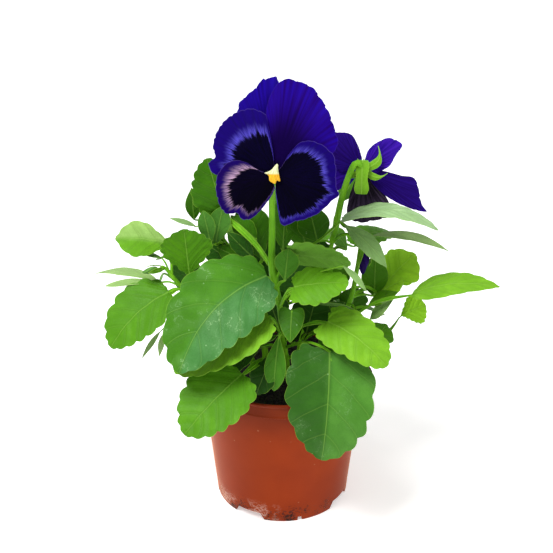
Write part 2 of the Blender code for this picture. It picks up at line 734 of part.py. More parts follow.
def make_pot(parts, cutters, material):
    """The pot: a turned wall, floor and skirt, cut by the notches between its feet and by drain holes."""
    band_foot = POT_HEIGHT - RIM_BAND
    inner_rim = RIM_RADIUS - RIM_BEAD - POT_WALL
    under_band = wall_radius(band_foot)
    inner_foot = wall_radius(FLOOR_HEIGHT) - POT_WALL
    pot = turned_object(
        "pot",
        (
            (0, FLOOR_HEIGHT),
            (inner_foot, FLOOR_HEIGHT),
            (under_band - POT_WALL, band_foot - 1.0),
            (inner_rim, POT_HEIGHT - 0.5),
            (inner_rim + 0.5, POT_HEIGHT),
            (RIM_RADIUS - 0.5, POT_HEIGHT),
            (RIM_RADIUS, POT_HEIGHT - 0.5),
            (RIM_RADIUS, POT_HEIGHT - 1.3),
            (RIM_RADIUS - RIM_BEAD, POT_HEIGHT - 2.0),
            (RIM_RADIUS - RIM_BEAD, band_foot + 1.4),
            (RIM_RADIUS - RIM_BEAD + 0.4, band_foot + 0.4),
            (under_band, band_foot - 0.6),
            (FOOT_RADIUS, 0),
            (FOOT_RADIUS - POT_WALL, 0),
            (inner_foot, FLOOR_HEIGHT - FLOOR_THICKNESS),
            (0, FLOOR_HEIGHT - FLOOR_THICKNESS),
        ),
        parts,
    )
    cuts = []
    for quarter in range(QUARTERS):
        turn = 90.0 * quarter
        cuts.append(notch_cutter("notch", NOTCH_AT + turn, NOTCH_WIDTH, NOTCH_FLARE, NOTCH_HEIGHT, cutters))
        cuts.append(notch_cutter("slit", SLIT_AT + turn, SLIT_WIDTH, 0.3, SLIT_HEIGHT, cutters))
    for hole in range(DRAIN_HOLES):
        x, y = around(360 * hole / DRAIN_HOLES, DRAIN_CIRCLE_RADIUS)
        bm = bmesh.new()
        bmesh.ops.create_cone(
            bm, cap_ends=True, segments=8, radius1=DRAIN_HOLE_RADIUS, radius2=DRAIN_HOLE_RADIUS, depth=8.0
        )
        bmesh.ops.translate(bm, vec=(x, y, FLOOR_HEIGHT), verts=bm.verts)
        cuts.append(object_from("drain", bm, cutters))
    return joined("pot", [pot, *cuts], parts, material, operation="DIFFERENCE")


def make_soil(parts, material, holes):
    """The soil: a body that follows the pot's inner wall, lumpy on top, with a plain hole for each stem."""
    bottom = FLOOR_HEIGHT + GAP
    low_radius = wall_radius(FLOOR_HEIGHT) - POT_WALL - GAP
    edge_radius = wall_radius(SOIL_EDGE - 3) - POT_WALL - GAP
    bm = bmesh.new()

    def ring(radius, height_at):
        made = []
        for step in range(POT_STEPS):
            turn = 2 * math.pi * step / POT_STEPS
            x, y = radius * math.cos(turn), radius * math.sin(turn)
            made.append(bm.verts.new((x, y, height_at(x, y))))
        return made

    def top(x, y):
        reach = math.hypot(x, y) / edge_radius
        place = Vector((x, y, 0))
        lump = noise.noise(place * SOIL_LUMP_FREQUENCY + Vector((0, 0, 3.7)))
        lump += SOIL_GRAIN_SHARE * noise.noise(place * SOIL_GRAIN_FREQUENCY + Vector((0, 0, 9.1)))
        calm = 2 * SOIL_EDGE_CALM - SOIL_EDGE_CALM * reach
        return SOIL_EDGE + SOIL_MOUND * (1 - reach**2) + SOIL_LUMP * lump * calm

    rings = [ring(low_radius, lambda x, y: bottom)]
    for step in range(SOIL_RINGS):
        rings.append(ring(edge_radius * (1 - step / SOIL_RINGS), top))
    for lower, upper in zip(rings, rings[1:]):
        for i in range(POT_STEPS):
            j = (i + 1) % POT_STEPS
            bm.faces.new((lower[i], lower[j], upper[j], upper[i]))
    crown = bm.verts.new((0, 0, top(0, 0)))
    base = bm.verts.new((0, 0, bottom))
    for i in range(POT_STEPS):
        j = (i + 1) % POT_STEPS
        bm.faces.new((rings[-1][i], rings[-1][j], crown))
        bm.faces.new((rings[0][j], rings[0][i], base))
    bmesh.ops.recalc_face_normals(bm, faces=bm.faces)
    soil = object_from("soil", bm, parts)
    return joined("soil", [soil, *holes], parts, material, operation="DIFFERENCE")


def stem_line(shoot, count=10):
    """Points along a shoot's middle line, from its root in the soil to its top."""
    (x, y), *rest = shoot.path
    return smooth_line([(x, y, ROOT_HEIGHT), (x, y, ROOT_HEIGHT + 12), *rest], count)


def leaf_pieces(leaf, line, collection):
    """A leaf's blade, and the stalk that joins it to the stem's line."""
    blade = Blade(leaf)
    rows = blade.grid(blade.kind.along, blade.kind.across)
    pieces = [sheet_object(leaf.name, rows, BLADE_THICKNESS, collection)]
    root = point_on(line, leaf.root)
    if leaf.via:
        path = [root, *[np.array(point, float) for point in leaf.via]]
    else:
        middle = (root + blade.base) / 2
        middle[2] += leaf.rise * np.linalg.norm(blade.base - root)
        path = [root, middle]
    path += [blade.base, blade.rib(STALK_REACH)[0]]
    radii = (STALK_RADIUS, STALK_RADIUS * 0.6)
    pieces.append(tube_object(leaf.name + "_stalk", smooth_line(path, 4), radii, 4, collection))
    return pieces


def strip_object(name, points, halves, side_at, collection):
    """A narrow blade along the points, each side of which lies half its width away along side_at."""
    known = np.linspace(0, 1, len(halves))
    line = smooth_line(points, SEPAL_ROWS + 1)
    rows = []
    for k, point in enumerate(line):
        half = max(float(np.interp(k / SEPAL_ROWS, known, halves)), 0.4)
        side = side_at(k / SEPAL_ROWS)
        rows.append([point - half * side, point, point + half * side])
    return sheet_object(name, rows, BLADE_THICKNESS, collection)


def calyx_pieces(bloom, collection):
    """The green cup behind a bloom: its receptacle, and its sepals with their lobes behind."""
    sheet = PetalSheet(bloom, bloom.petals[0])
    centre = sheet.place(0, 0, -CALYX_DEPTH)
    pieces = [ball_object("receptacle", centre, RECEPTACLE_RADIUS, collection)]
    for sepal in bloom.sepals:
        turn = math.radians(sepal.turn)
        c, s = math.cos(turn), math.sin(turn)
        stations = (
            (0.45 * sepal.lobe + 0.8, -CALYX_DEPTH - sepal.lobe),
            (1.7, -CALYX_DEPTH - 0.8),
            (0.5 * sepal.length, -CALYX_DEPTH - 0.3),
            (sepal.length, -CALYX_DEPTH + 0.5),
        )
        points = [sheet.place(out * c, out * s, depth) for out, depth in stations]
        halves = [sepal.width * share for share in SEPAL_SHARES]
        across = c * sheet.up - s * sheet.right
        pieces.append(strip_object("sepal", points, halves, lambda k, side=across: side, collection))
    return pieces


def bud_pieces(bud, line, collection):
    """A bud's stalk, and the sepals that hold its furled petals with a little air between them."""
    path = [point_on(line, bud.root), *[np.array(point, float) for point in bud.stalk]]
    pieces = [tube_object(bud.name + "_stalk", smooth_line(path, 6), (1.1, 1.0), 4, collection)]
    neck = path[-1]
    tip = np.array(bud.line[-1], float)
    axis = unit(tip - neck)
    first = unit(np.cross(axis, (1.0, 0.0, 0.0) if abs(axis[0]) < 0.7 else (0.0, 0.0, 1.0)))
    second = np.cross(axis, first)
    pieces.append(ball_object("neck", neck, NECK_RADIUS, collection))
    body = smooth_line(bud.line, 7)
    radii = np.interp(np.linspace(0, 1, 7), np.linspace(0, 1, len(bud.radii)), bud.radii)
    last = round(bud.reach * 6)
    for angle in bud.sepals:
        turn = math.radians(angle)
        out = math.cos(turn) * first + math.sin(turn) * second
        across = math.cos(turn) * second - math.sin(turn) * first
        clear = [body[k] + (radii[k] + SEPAL_AIR) * out for k in range(1, last + 1)]
        points = [neck + 0.3 * out, neck + (0.5 * radii[1] + SEPAL_AIR) * out + 0.8 * axis, *clear]
        halves = [bud.sepal_width * share for share in BUD_SEPAL_SHARES]
        pieces.append(strip_object("bud_sepal", points, halves, lambda k, side=across: side, collection))
    return pieces


def point_on(line, share):
    """The point at this share of the way up a stem's line."""
    where = share * (len(line) - 1)
    low = min(int(where), len(line) - 2)
    return line[low] + (where - low) * (line[low + 1] - line[low])


def flower_stalk(stalk, line, collection):
    """A flower's stalk, from its stem to the back of its bloom."""
    path = smooth_line([point_on(line, stalk.root), *stalk.path], 9)
    return tube_object("flower_stalk", path, (1.5, 1.1), 6, collection)


def make_shoot(shoot, parts, material, bloom):
    """A stem with its leaves, its flower's stalk and calyx and its buds' sepals, fused into one body."""
    line = stem_line(shoot)
    pieces = [tube_object(shoot.name, line, shoot.radius, 6, parts)]
    for leaf in shoot.leaves:
        pieces += leaf_pieces(leaf, line, parts)
    if bloom:
        pieces.append(flower_stalk(shoot.flower, line, parts))
        pieces += calyx_pieces(bloom, parts)
    for bud in BUDS:
        if bud.shoot == shoot.name:
            pieces += bud_pieces(bud, line, parts)
    return joined(shoot.name, pieces, parts, material)


def make_petals(bloom, along, parts, material):
    """A bloom's petals, each a solid of its own, one in front of the other."""
    for petal in bloom.petals:
        rows = PetalSheet(bloom, petal).grid(along, PETAL_RINGS)
        obj = sheet_object(petal.name, rows, PETAL_THICKNESS, parts)
        obj.data.materials.append(material)


def make_eye(bloom, parts, material):
    """The small raised patch at the throat."""
    sheet = PetalSheet(bloom, bloom.petals[0])
    bm = bmesh.new()
    lower, upper = (
        [bm.verts.new(Vector(sheet.place(x, y, depth))) for x, y in EYE_EDGE] for depth in EYE_DEPTH
    )
    for i in range(len(lower)):
        j = (i + 1) % len(lower)
        bm.faces.new((lower[i], lower[j], upper[j], upper[i]))
    bm.faces.new(upper)
    bm.faces.new(lower[::-1])
    bmesh.ops.recalc_face_normals(bm, faces=bm.faces)
    bmesh.ops.triangulate(bm, faces=bm.faces)
    object_from("throat_patch", bm, parts).data.materials.append(material)


def make_bud(bud, parts, material):
    """The furled petals of a bud."""
    obj = tube_object(bud.name, smooth_line(bud.line, 7), bud.radii, 8, parts)
    obj.data.materials.append(material)


def make_scrap(name, parts, material):
    """A dead scrap of leaf that hangs over the rim."""
    angle, width = SCRAPS[name]
    rows = []
    for step, (radius, height) in enumerate(SCRAP_PATH):
        row = []
        for side in (-0.5, 0.0, 0.5):
            spread = width * side * (0.7 + 0.3 * math.sin(2.1 * step + 9 * side))
            x, y = around(angle + math.degrees(spread / radius), radius)
            row.append((x, y, height + 0.3 * (step % 2) * abs(side)))
        rows.append(row)
    sheet_object(name, rows, BLADE_THICKNESS, parts).data.materials.append(material)


def main():
    """Builds the pot, the soil, the shoots and the blooms."""
    clear_scene()
    parts = new_collection("potted_pansy")
    cutters = new_collection("cutters")
    green = new_material("leaf", LEAF_GREEN, 0.5)
    violet = new_material("petal", VIOLET, 0.6)
    ink = new_material("dark_petal", INK_VIOLET, 0.6)
    make_pot(parts, cutters, new_material("terracotta", TERRACOTTA, 0.45))
    holes = []
    for shoot in SHOOTS:
        line = stem_line(shoot)
        line[0][2] -= GAP
        holes.append(tube_object("stem_hole", line, [r + STEM_HOLE_SPARE for r in shoot.radius], 6, cutters))
    make_soil(parts, new_material("soil", SOIL_BLACK, 0.95), holes)
    blooms = {"shoot_front": MAIN_BLOOM, "shoot_back_right": SIDE_BLOOM}
    for shoot in SHOOTS:
        make_shoot(shoot, parts, green, blooms.get(shoot.name))
    make_petals(MAIN_BLOOM, 16, parts, violet)
    make_eye(MAIN_BLOOM, parts, new_material("throat", EYE_YELLOW, 0.6))
    make_petals(SIDE_BLOOM, 9, parts, violet)
    for bud in BUDS:
        make_bud(bud, parts, ink)
    withered = new_material("withered", WITHERED, 0.9)
    for name in SCRAPS:
        make_scrap(name, parts, withered)


if __name__ == "__main__":
    main()
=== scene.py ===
"""Dresses a potted pansy: leaves with veins and scalloped margins, velvety petals, soil and a plastic pot.

The frame is metres with +Z up, and the large bloom looks towards -Y. Plans below are in millimetres, in the
same places as the solids that they dress, and MM turns them into metres.
"""

import logging
import math
import random
from dataclasses import dataclass
from enum import Enum
from typing import ClassVar

import bmesh
import bpy
import numpy as np
from mathutils import Matrix, Vector, noise


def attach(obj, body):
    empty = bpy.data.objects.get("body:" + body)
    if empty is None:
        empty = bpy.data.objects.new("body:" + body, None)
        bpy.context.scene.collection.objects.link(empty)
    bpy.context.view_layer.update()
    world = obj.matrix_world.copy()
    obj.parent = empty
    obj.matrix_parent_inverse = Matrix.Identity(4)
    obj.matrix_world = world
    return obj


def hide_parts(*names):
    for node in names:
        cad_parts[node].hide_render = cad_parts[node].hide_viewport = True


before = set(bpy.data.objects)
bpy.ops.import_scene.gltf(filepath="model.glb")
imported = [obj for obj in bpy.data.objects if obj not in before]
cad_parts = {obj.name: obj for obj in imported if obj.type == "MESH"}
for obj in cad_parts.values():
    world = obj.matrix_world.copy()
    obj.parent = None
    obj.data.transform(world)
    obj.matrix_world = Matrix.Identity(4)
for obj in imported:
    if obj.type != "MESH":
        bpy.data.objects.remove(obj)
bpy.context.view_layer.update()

MM = 0.001
BODY = "root"
SKY = (0.0, 0.0, 1.0)
FRONT = (0.0, -1.0, 0.35)
log = logging.getLogger("potted_pansy")

Point = tuple[float, float, float]
Colour = tuple[float, float, float]


class Tone(Enum):
    """The greens of the leaves, from pale to deep; the palest carry a painted sheen and the deepest painted shade."""

    # The first three greens are partly the leaves' own pale green and partly a painted sheen, which the leaf finish
    # adds.
    PALE = (0.27, 0.46, 0.20)
    FROSTED = (0.225, 0.40, 0.095)
    SILVER = (0.16, 0.33, 0.08)
    BRIGHT = (0.26, 0.56, 0.020)
    LIME = (0.135, 0.335, 0.014)
    LIGHT = (0.090, 0.265, 0.008)
    FRESH = (0.064, 0.212, 0.006)
    GRASS = (0.046, 0.165, 0.002)
    BLUE_GREEN = (0.052, 0.178, 0.018)
    SEA = (0.043, 0.165, 0.034)
    MOSS = (0.043, 0.165, 0.007)
    OLIVE = (0.031, 0.125, 0.002)
    # DEEP is partly the leaves' own dark green and partly painted shade; SHADE is painted shade for leaves deep in the
    # plant.
    DEEP = (0.020, 0.088, 0.006)
    SHADE = (0.012, 0.056, 0.003)
    STALK = (0.125, 0.345, 0.012)


@dataclass(frozen=True)
class Outline:
    """How a blade's outline runs from base to tip, and how its margin and veins are set.

    widest is the share of the length at which the blade is widest; heart pulls the lower lobes back;
    teeth counts the scallops of one side and bite is their depth; veins counts the side veins of one
    side and slant is how far they lean towards the tip; rows and columns set the mesh.
    """

    widest: float
    roundness: float
    heart: float
    teeth: int
    bite: float
    veins: float
    slant: float
    rows: int
    columns: int


class Form(Enum):
    """The kinds of leaf blade that the plant carries."""

    HEART = Outline(0.42, 0.48, 0.34, 9, 0.125, 3.6, 2.4, 112, 30)
    OVAL = Outline(0.44, 0.54, 0.18, 9, 0.120, 3.8, 2.4, 112, 28)
    SABRE = Outline(0.38, 0.80, 0.06, 8, 0.080, 3.4, 2.8, 96, 24)
    SPOON = Outline(0.60, 0.75, 0.00, 6, 0.085, 3.0, 2.2, 60, 14)
    FAN = Outline(0.64, 0.66, 0.00, 10, 0.095, 4.0, 4.6, 110, 26)
    PADDLE = Outline(0.60, 0.75, 0.00, 0, 0.000, 2.2, 2.6, 28, 12)
    SLIM = Outline(0.48, 0.90, 0.00, 6, 0.080, 3.0, 2.6, 54, 12)
    LANCE = Outline(0.45, 1.00, 0.00, 0, 0.000, 3.0, 1.8, 22, 8)
    ARROW = Outline(0.30, 0.80, 0.30, 0, 0.000, 2.6, 1.8, 36, 14)


@dataclass(frozen=True)
class LeafPlan:
    """One leaf: its form, where its blade starts and ends, its width, its tones and how it bends.

    root is how far up its stem the leaf stalk leaves, and via holds points that the stalk runs through.
    other is the tone of the blade's far half, where the light gives it another.
    """

    name: str
    form: Form
    root: float
    base: Point
    tip: Point
    width: float
    tone: Tone
    other: Tone | None = None
    roll: float = 0.0
    arch: float = 0.0
    sweep: float = 0.0
    fold: float = 0.0
    cup: float = 0.0
    wave: float = 0.0
    rise: float = 0.12
    via: tuple[Point, ...] = ()
    faces: Point = SKY
    scars: float = 0.0


@dataclass(frozen=True)
class ShootPlan:
    """A stem and its leaves, and the solid that they dress."""

    node: str
    path: tuple[tuple[float, ...], ...]
    radius: tuple[float, float]
    leaves: tuple[LeafPlan, ...]


# Leaves in the SHADE green, and several in DEEP, carry painted shade: their dark green stands for the shade inside the
# plant.
SHOOTS = (
    ShootPlan(
        "shoot_front",
        ((2, -6), (2, -9, 92), (0, -21, 116), (-1, -25, 134), (-4, -20, 154), (-6, -14, 172)),
        (2.6, 1.4),
        (
            LeafPlan("big_left", Form.OVAL, 0.66, (-9, -23, 159), (-57, -64, 120), 50, Tone.SEA,
                     other=Tone.MOSS, roll=-30, arch=12, sweep=16, fold=4, wave=0.8, scars=1.0),
            LeafPlan("under_left", Form.OVAL, 0.50, (-8, -34, 139), (-61, -50, 112), 40, Tone.LIME,
                     roll=-20, arch=6, fold=4),
            LeafPlan("front_right", Form.HEART, 0.42, (26, -50, 125), (22, -67, 64), 53, Tone.BLUE_GREEN,
                     other=Tone.DEEP, arch=10, fold=-8, sweep=-4, wave=0.8, scars=0.35),
            LeafPlan("front_left", Form.OVAL, 0.28, (-23, -47, 109), (-55, -71, 84), 42, Tone.FRESH,
                     roll=-20, arch=6, fold=6),
            LeafPlan("low_dark", Form.SPOON, 0.36, (-4, -34, 116), (-15, -44, 93), 18, Tone.SHADE,
                     roll=-10, arch=3),
            LeafPlan("low_right", Form.SPOON, 0.30, (21, -15, 106), (36, -19, 121), 20, Tone.OLIVE,
                     arch=2, faces=FRONT),
            LeafPlan("low_dark_left", Form.SPOON, 0.38, (-12, -28, 116), (-39, -38, 105), 20, Tone.SHADE,
                     roll=-15, arch=3),
            LeafPlan("paddle", Form.PADDLE, 0.50, (-2, -37, 129), (-5, -46, 97), 13, Tone.MOSS, arch=4),
            LeafPlan("arrow", Form.ARROW, 0.56, (5, -32, 142), (4, -46, 129), 15, Tone.OLIVE, arch=2),
            LeafPlan("tiny_left", Form.LANCE, 0.49, (-3, -34, 127), (-13, -40, 125), 5, Tone.GRASS),
            LeafPlan("front_right_high", Form.HEART, 0.47, (25, -38, 138), (57, -62, 123), 30, Tone.LIME,
                     roll=22, arch=6, sweep=-3),
            LeafPlan("curly", Form.HEART, 0.70, (6, -38, 160), (36, -43, 165), 27, Tone.LIGHT,
                     roll=22, arch=3, cup=2, wave=1.4),
            LeafPlan("stipule", Form.LANCE, 0.72, (33, -36, 172), (46, -44, 160), 6, Tone.SILVER, arch=2),
            LeafPlan("over_curly", Form.HEART, 0.84, (5, -20, 171), (38, -26, 168), 30, Tone.LIGHT,
                     roll=-55, arch=3),
            LeafPlan("middle", Form.PADDLE, 0.80, (1, -27, 158), (3, -25, 177), 14, Tone.MOSS,
                     arch=1, faces=FRONT),
            LeafPlan("upper_left", Form.OVAL, 0.88, (-34, 4, 185), (-43, 9, 217), 30, Tone.OLIVE,
                     arch=2, faces=FRONT, roll=10, via=((-16, -6, 171),)),
            LeafPlan("right_high", Form.OVAL, 0.93, (33, -14, 190), (86, -22, 187), 22, Tone.PALE,
                     roll=-4, arch=17, via=((18, -12, 174),)),
            LeafPlan("fill_mid", Form.SPOON, 0.34, (-1, -4, 111), (-9, -3, 137), 20, Tone.SHADE,
                     arch=1, faces=FRONT),
        ),
    ),
    ShootPlan(
        "shoot_left",
        ((-16, -8), (-17, -9, 92), (-28, -12, 112), (-44, -10, 130), (-58, -6, 142), (-67, -2, 152)),
        (2.3, 1.1),
        (
            LeafPlan("left_low", Form.OVAL, 0.86, (-66, -8, 140.5), (-99, -26, 113.5), 37, Tone.FRESH,
                     roll=-22, arch=8, sweep=4, fold=4),
            LeafPlan("left_strap", Form.SLIM, 0.90, (-75, 28, 128), (-120, 62, 115), 14, Tone.FROSTED,
                     roll=5, arch=9, via=((-70, 12, 142),)),
            LeafPlan("left_lance", Form.PADDLE, 0.88, (-73, -1, 143), (-104, 2, 139), 9, Tone.FROSTED, arch=3),
            LeafPlan("left_back", Form.SPOON, 0.96, (-65, 10, 162), (-97, 6, 168), 28, Tone.LIGHT, other=Tone.FROSTED,
                     roll=-25, arch=5),
            LeafPlan("left_inner", Form.LANCE, 0.98, (-70, 3, 157), (-86, 0, 163), 7, Tone.FRESH, arch=1),
            LeafPlan("left_round", Form.FAN, 0.80, (-53, -15, 154), (-56, -8, 181), 31, Tone.GRASS,
                     arch=-2, fold=6, faces=FRONT),
            LeafPlan("left_tuft", Form.LANCE, 0.74, (-72, -8, 114), (-83, -14, 99), 5, Tone.FROSTED,
                     arch=1, via=((-62, -8, 124),)),
            LeafPlan("left_tuft_low", Form.LANCE, 0.72, (-70, -7, 112), (-73, -10, 98), 5, Tone.FROSTED,
                     arch=1, via=((-60, -8, 122),)),
            LeafPlan("fill_left", Form.SPOON, 0.66, (-49, 8, 125), (-62, 10, 156), 19, Tone.DEEP,
                     arch=1, faces=FRONT),
        ),
    ),
    ShootPlan(
        "shoot_right",
        ((17, -6), (18, -7, 92), (30, -7, 112), (39, -3, 130), (43, 0, 150), (45, 3, 166)),
        (2.3, 1.2),
        (
            LeafPlan("right_long", Form.SABRE, 0.48, (74, -18, 145), (120, -38, 160), 24, Tone.LIME,
                     roll=12, arch=9),
            LeafPlan("right_mid", Form.SLIM, 0.97, (51, 4, 171), (95, -4, 165), 12, Tone.FROSTED, arch=9),
            LeafPlan("right_round", Form.SPOON, 0.72, (60, 14, 132), (79, 20, 151), 29, Tone.BRIGHT,
                     roll=25, arch=3, via=((52, 10, 134),)),
            LeafPlan("right_oval", Form.PADDLE, 0.76, (57, 5, 133), (71, 2, 143), 13, Tone.BRIGHT,
                     arch=1, roll=35),
            LeafPlan("right_small", Form.FAN, 0.30, (70, 4, 118), (85, 6, 124), 20, Tone.BRIGHT,
                     roll=40, arch=1, via=((58, 2, 104),)),
            LeafPlan("right_pale", Form.LANCE, 0.52, (51, -9, 123), (64, -12, 138), 10, Tone.FROSTED,
                     roll=30, arch=2),
            LeafPlan("right_green", Form.LANCE, 0.60, (50, -4, 129), (69, -1, 138), 14, Tone.LIGHT, arch=2),
            LeafPlan("right_dark", Form.SPOON, 0.42, (52, -6, 102), (61, -6, 118), 19, Tone.GRASS, arch=1, faces=FRONT),
            LeafPlan("shade", Form.PADDLE, 0.66, (42, -16, 133), (12, -29, 146), 16, Tone.SHADE,
                     roll=30, arch=2),
            LeafPlan("right_up", Form.LANCE, 0.70, (54, 4, 131), (54, 7, 159), 16, Tone.GRASS,
                     arch=1, faces=FRONT),
            LeafPlan("fill_right_low", Form.SPOON, 0.28, (36, 1, 99), (47, 1, 116), 16, Tone.SHADE,
                     arch=1, faces=FRONT),
        ),
    ),
    ShootPlan(
        "shoot_back_left",
        ((-10, 12), (-11, 13, 92), (-16, 14, 118), (-22, 13, 142), (-33, 12, 162), (-43, 12, 176)),
        (2.2, 1.1),
        (
            LeafPlan("upper_slim", Form.LANCE, 0.97, (-51, 8, 179), (-52, 9, 199), 9, Tone.OLIVE,
                     arch=1, faces=FRONT),
            LeafPlan("upper_tiny", Form.LANCE, 0.95, (-50, 6, 176), (-65, 6, 181), 7, Tone.SILVER, arch=1),
            LeafPlan("spatula_right", Form.PADDLE, 0.86, (-39, 1, 166), (-34, 1, 191), 13, Tone.BLUE_GREEN,
                     arch=1, faces=FRONT),
            LeafPlan("spatula_left", Form.PADDLE, 0.84, (-41, -3, 168), (-45, -3, 190), 10, Tone.BLUE_GREEN,
                     arch=1, faces=FRONT),
            LeafPlan("inner_left_high", Form.SLIM, 0.74, (-15, 4, 168), (-30, 8, 182), 13, Tone.OLIVE,
                     arch=2, faces=FRONT),
            LeafPlan("inner_left", Form.SLIM, 0.66, (-17, 1, 158), (-32, -1, 176), 11, Tone.DEEP,
                     arch=2, faces=FRONT),
            LeafPlan("inner_left_low", Form.SLIM, 0.62, (-19, 4, 153), (-38, 5, 163), 14, Tone.OLIVE,
                     arch=2, faces=FRONT),
            LeafPlan("inner_low_left", Form.SPOON, 0.26, (-16, 9, 96), (-24, 6, 128), 28, Tone.SHADE,
                     arch=2, faces=FRONT),
            LeafPlan("inner_edge_left", Form.SPOON, 0.25, (-22, 7, 93), (-38, 3, 110), 20, Tone.SHADE,
                     arch=2, faces=FRONT),
            LeafPlan("behind_left", Form.OVAL, 0.74, (-44, 28, 146), (-76, 46, 134), 34, Tone.FRESH,
                     roll=10, arch=8),
            LeafPlan("behind_left_low", Form.OVAL, 0.42, (-36, 26, 112), (-58, 48, 90), 34, Tone.GRASS,
                     arch=8),
            LeafPlan("behind_left_high", Form.SPOON, 0.88, (-36, 24, 176), (-48, 42, 192), 20, Tone.GRASS,
                     arch=3),
            LeafPlan("fill_gap", Form.SPOON, 0.62, (-12, 9, 152), (-22, 10, 190), 22, Tone.OLIVE,
                     arch=1, faces=FRONT),
            LeafPlan("fill_dark", Form.SPOON, 0.64, (-29, 5, 154), (-46, 7, 165), 15, Tone.DEEP,
                     arch=1, faces=FRONT),
        ),
    ),
    ShootPlan(
        "shoot_back_right",
        ((10, 10), (11, 12, 92), (18, 12, 120), (25, 10, 145), (29, 6, 168), (30, 1, 184)),
        (2.2, 1.1),
        (
            LeafPlan("right_lined", Form.SLIM, 0.98, (35, -3, 181), (59, -15, 160), 12, Tone.SILVER,
                     roll=30, arch=9),
            LeafPlan("inner_right", Form.PADDLE, 0.80, (38, 12, 158), (28, 16, 170), 18, Tone.FRESH, arch=1),
            LeafPlan("inner_high", Form.LANCE, 0.84, (20, 2, 168), (14, -4, 196), 19, Tone.OLIVE,
                     arch=1, faces=FRONT),
            LeafPlan("inner_mid", Form.LANCE, 0.76, (14, 4, 160), (7, 2, 198), 18, Tone.OLIVE,
                     arch=1, faces=FRONT),
            LeafPlan("inner_low_right", Form.SPOON, 0.26, (14, 6, 104), (20, 4, 132), 25, Tone.SHADE,
                     arch=2, faces=FRONT),
            LeafPlan("inner_centre", Form.SPOON, 0.48, (10, 2, 130), (6, -1, 156), 28, Tone.DEEP,
                     arch=2, faces=FRONT),
            LeafPlan("inner_edge_right", Form.SPOON, 0.27, (27, 6, 106), (37, 6, 126), 22, Tone.DEEP,
                     arch=2, faces=FRONT),
            LeafPlan("inner_centre_right", Form.SPOON, 0.52, (24, 5, 133), (30, 4, 156), 25, Tone.GRASS,
                     arch=2, faces=FRONT),
            LeafPlan("behind_right", Form.OVAL, 0.78, (43, 30, 152), (67, 49, 151), 26, Tone.FRESH, arch=8),
            LeafPlan("behind_right_low", Form.OVAL, 0.44, (36, 26, 114), (60, 48, 94), 34, Tone.GRASS,
                     arch=8),
            LeafPlan("behind_right_high", Form.SPOON, 0.92, (34, 20, 184), (46, 38, 198), 20, Tone.GRASS,
                     arch=3),
            LeafPlan("fill_stalk", Form.SPOON, 0.62, (0, 3, 161), (2, 3, 197), 18, Tone.OLIVE,
                     arch=1, faces=FRONT),
            LeafPlan("fill_right", Form.SPOON, 0.28, (41, 11, 112), (43, 11, 134), 18, Tone.OLIVE,
                     arch=1, faces=FRONT),
            LeafPlan("fill_low", Form.SPOON, 0.24, (6, 14, 93), (6, 13, 116), 26, Tone.SHADE,
                     arch=1, faces=FRONT),
        ),
    ),
    ShootPlan(
        "shoot_back",
        ((0, 22), (0, 24, 92), (3, 32, 114), (2, 38, 136), (-2, 40, 156)),
        (2.2, 1.2),
        (
            LeafPlan("rear_left_low", Form.HEART, 0.34, (-14, 44, 110), (-30, 72, 82), 38, Tone.BLUE_GREEN,
                     arch=6),
            LeafPlan("rear_right_low", Form.HEART, 0.38, (18, 44, 112), (34, 72, 84), 38, Tone.GRASS,
                     arch=6),
            LeafPlan("rear_middle", Form.OVAL, 0.62, (2, 50, 136), (2, 75, 112), 34, Tone.FRESH, arch=8),
            LeafPlan("rear_left_high", Form.OVAL, 0.82, (-14, 48, 150), (-36, 66, 148), 28, Tone.LIGHT,
                     arch=6),
            LeafPlan("rear_right_high", Form.OVAL, 0.78, (16, 48, 148), (36, 66, 142), 28, Tone.FRESH,
                     arch=6),
            LeafPlan("backdrop_left", Form.OVAL, 0.44, (-10, 26, 116), (-15, 19, 170), 44, Tone.DEEP,
                     arch=-3, faces=FRONT),
            LeafPlan("backdrop_right", Form.OVAL, 0.52, (17, 26, 114), (22, 20, 160), 42, Tone.DEEP,
                     arch=-3, faces=FRONT),
            LeafPlan("rear_top", Form.SPOON, 0.97, (-2, 44, 164), (4, 56, 186), 22, Tone.GRASS, arch=2),
        ),
    ),
)


@dataclass(frozen=True)
class StalkPlan:
    """A flower's stalk: where it leaves its stem, and the points that it runs through."""

    node: str
    root: float
    path: tuple[Point, ...]


STALKS = (
    StalkPlan("shoot_front", 0.72,
              ((-6, -19, 160), (-6, -24, 190), (-6, -31, 214), (-5, -34.5, 224), (-4.6, -37, 227.5))),
    StalkPlan("shoot_back_right", 0.86,
              ((30, -1, 178), (33, -4, 198), (37, -6, 214), (40, -7, 221), (42.8, -6, 219.5),
               (44.1, -3.8, 216))),
)


class Dye(Enum):
    """The colours of the petals."""

    VIOLET_BLUE = (0.011, 0.002, 0.245)
    ROYAL = (0.0065, 0.0008, 0.115)
    PURPLE = (0.011, 0.0006, 0.098)
    DEEP_VIOLET = (0.007, 0.0008, 0.055)
    INDIGO = (0.006, 0.0014, 0.080)
    INK = (0.0006, 0.0004, 0.0016)
    LAVENDER = (0.085, 0.070, 0.500)
    LILAC = (0.26, 0.17, 0.58)
    ROSE_CREAM = (0.50, 0.32, 0.45)
    OLD_LILAC = (0.042, 0.009, 0.30)
    INDIGO_BACK = (0.016, 0.004, 0.150)
    GREY_LILAC = (0.045, 0.030, 0.060)


@dataclass(frozen=True)
class Marks:
    """Where a petal's blotch ends and its pale band runs, as shares of the way from throat to edge.

    Each line holds a few shares that are spread evenly along the petal's edge, from its first point to
    its last: blotch is where the dark face ends, band where the pale band ends, glow how strong it is.
    rim is how strong the painted highlight on the thin outer edge is.
    """

    blotch: tuple[float, ...]
    band: tuple[float, ...]
    glow: tuple[float, ...]
    ground: Dye
    pale: Dye
    bright: Dye
    rim: float = 0.13
    back: Dye = Dye.OLD_LILAC


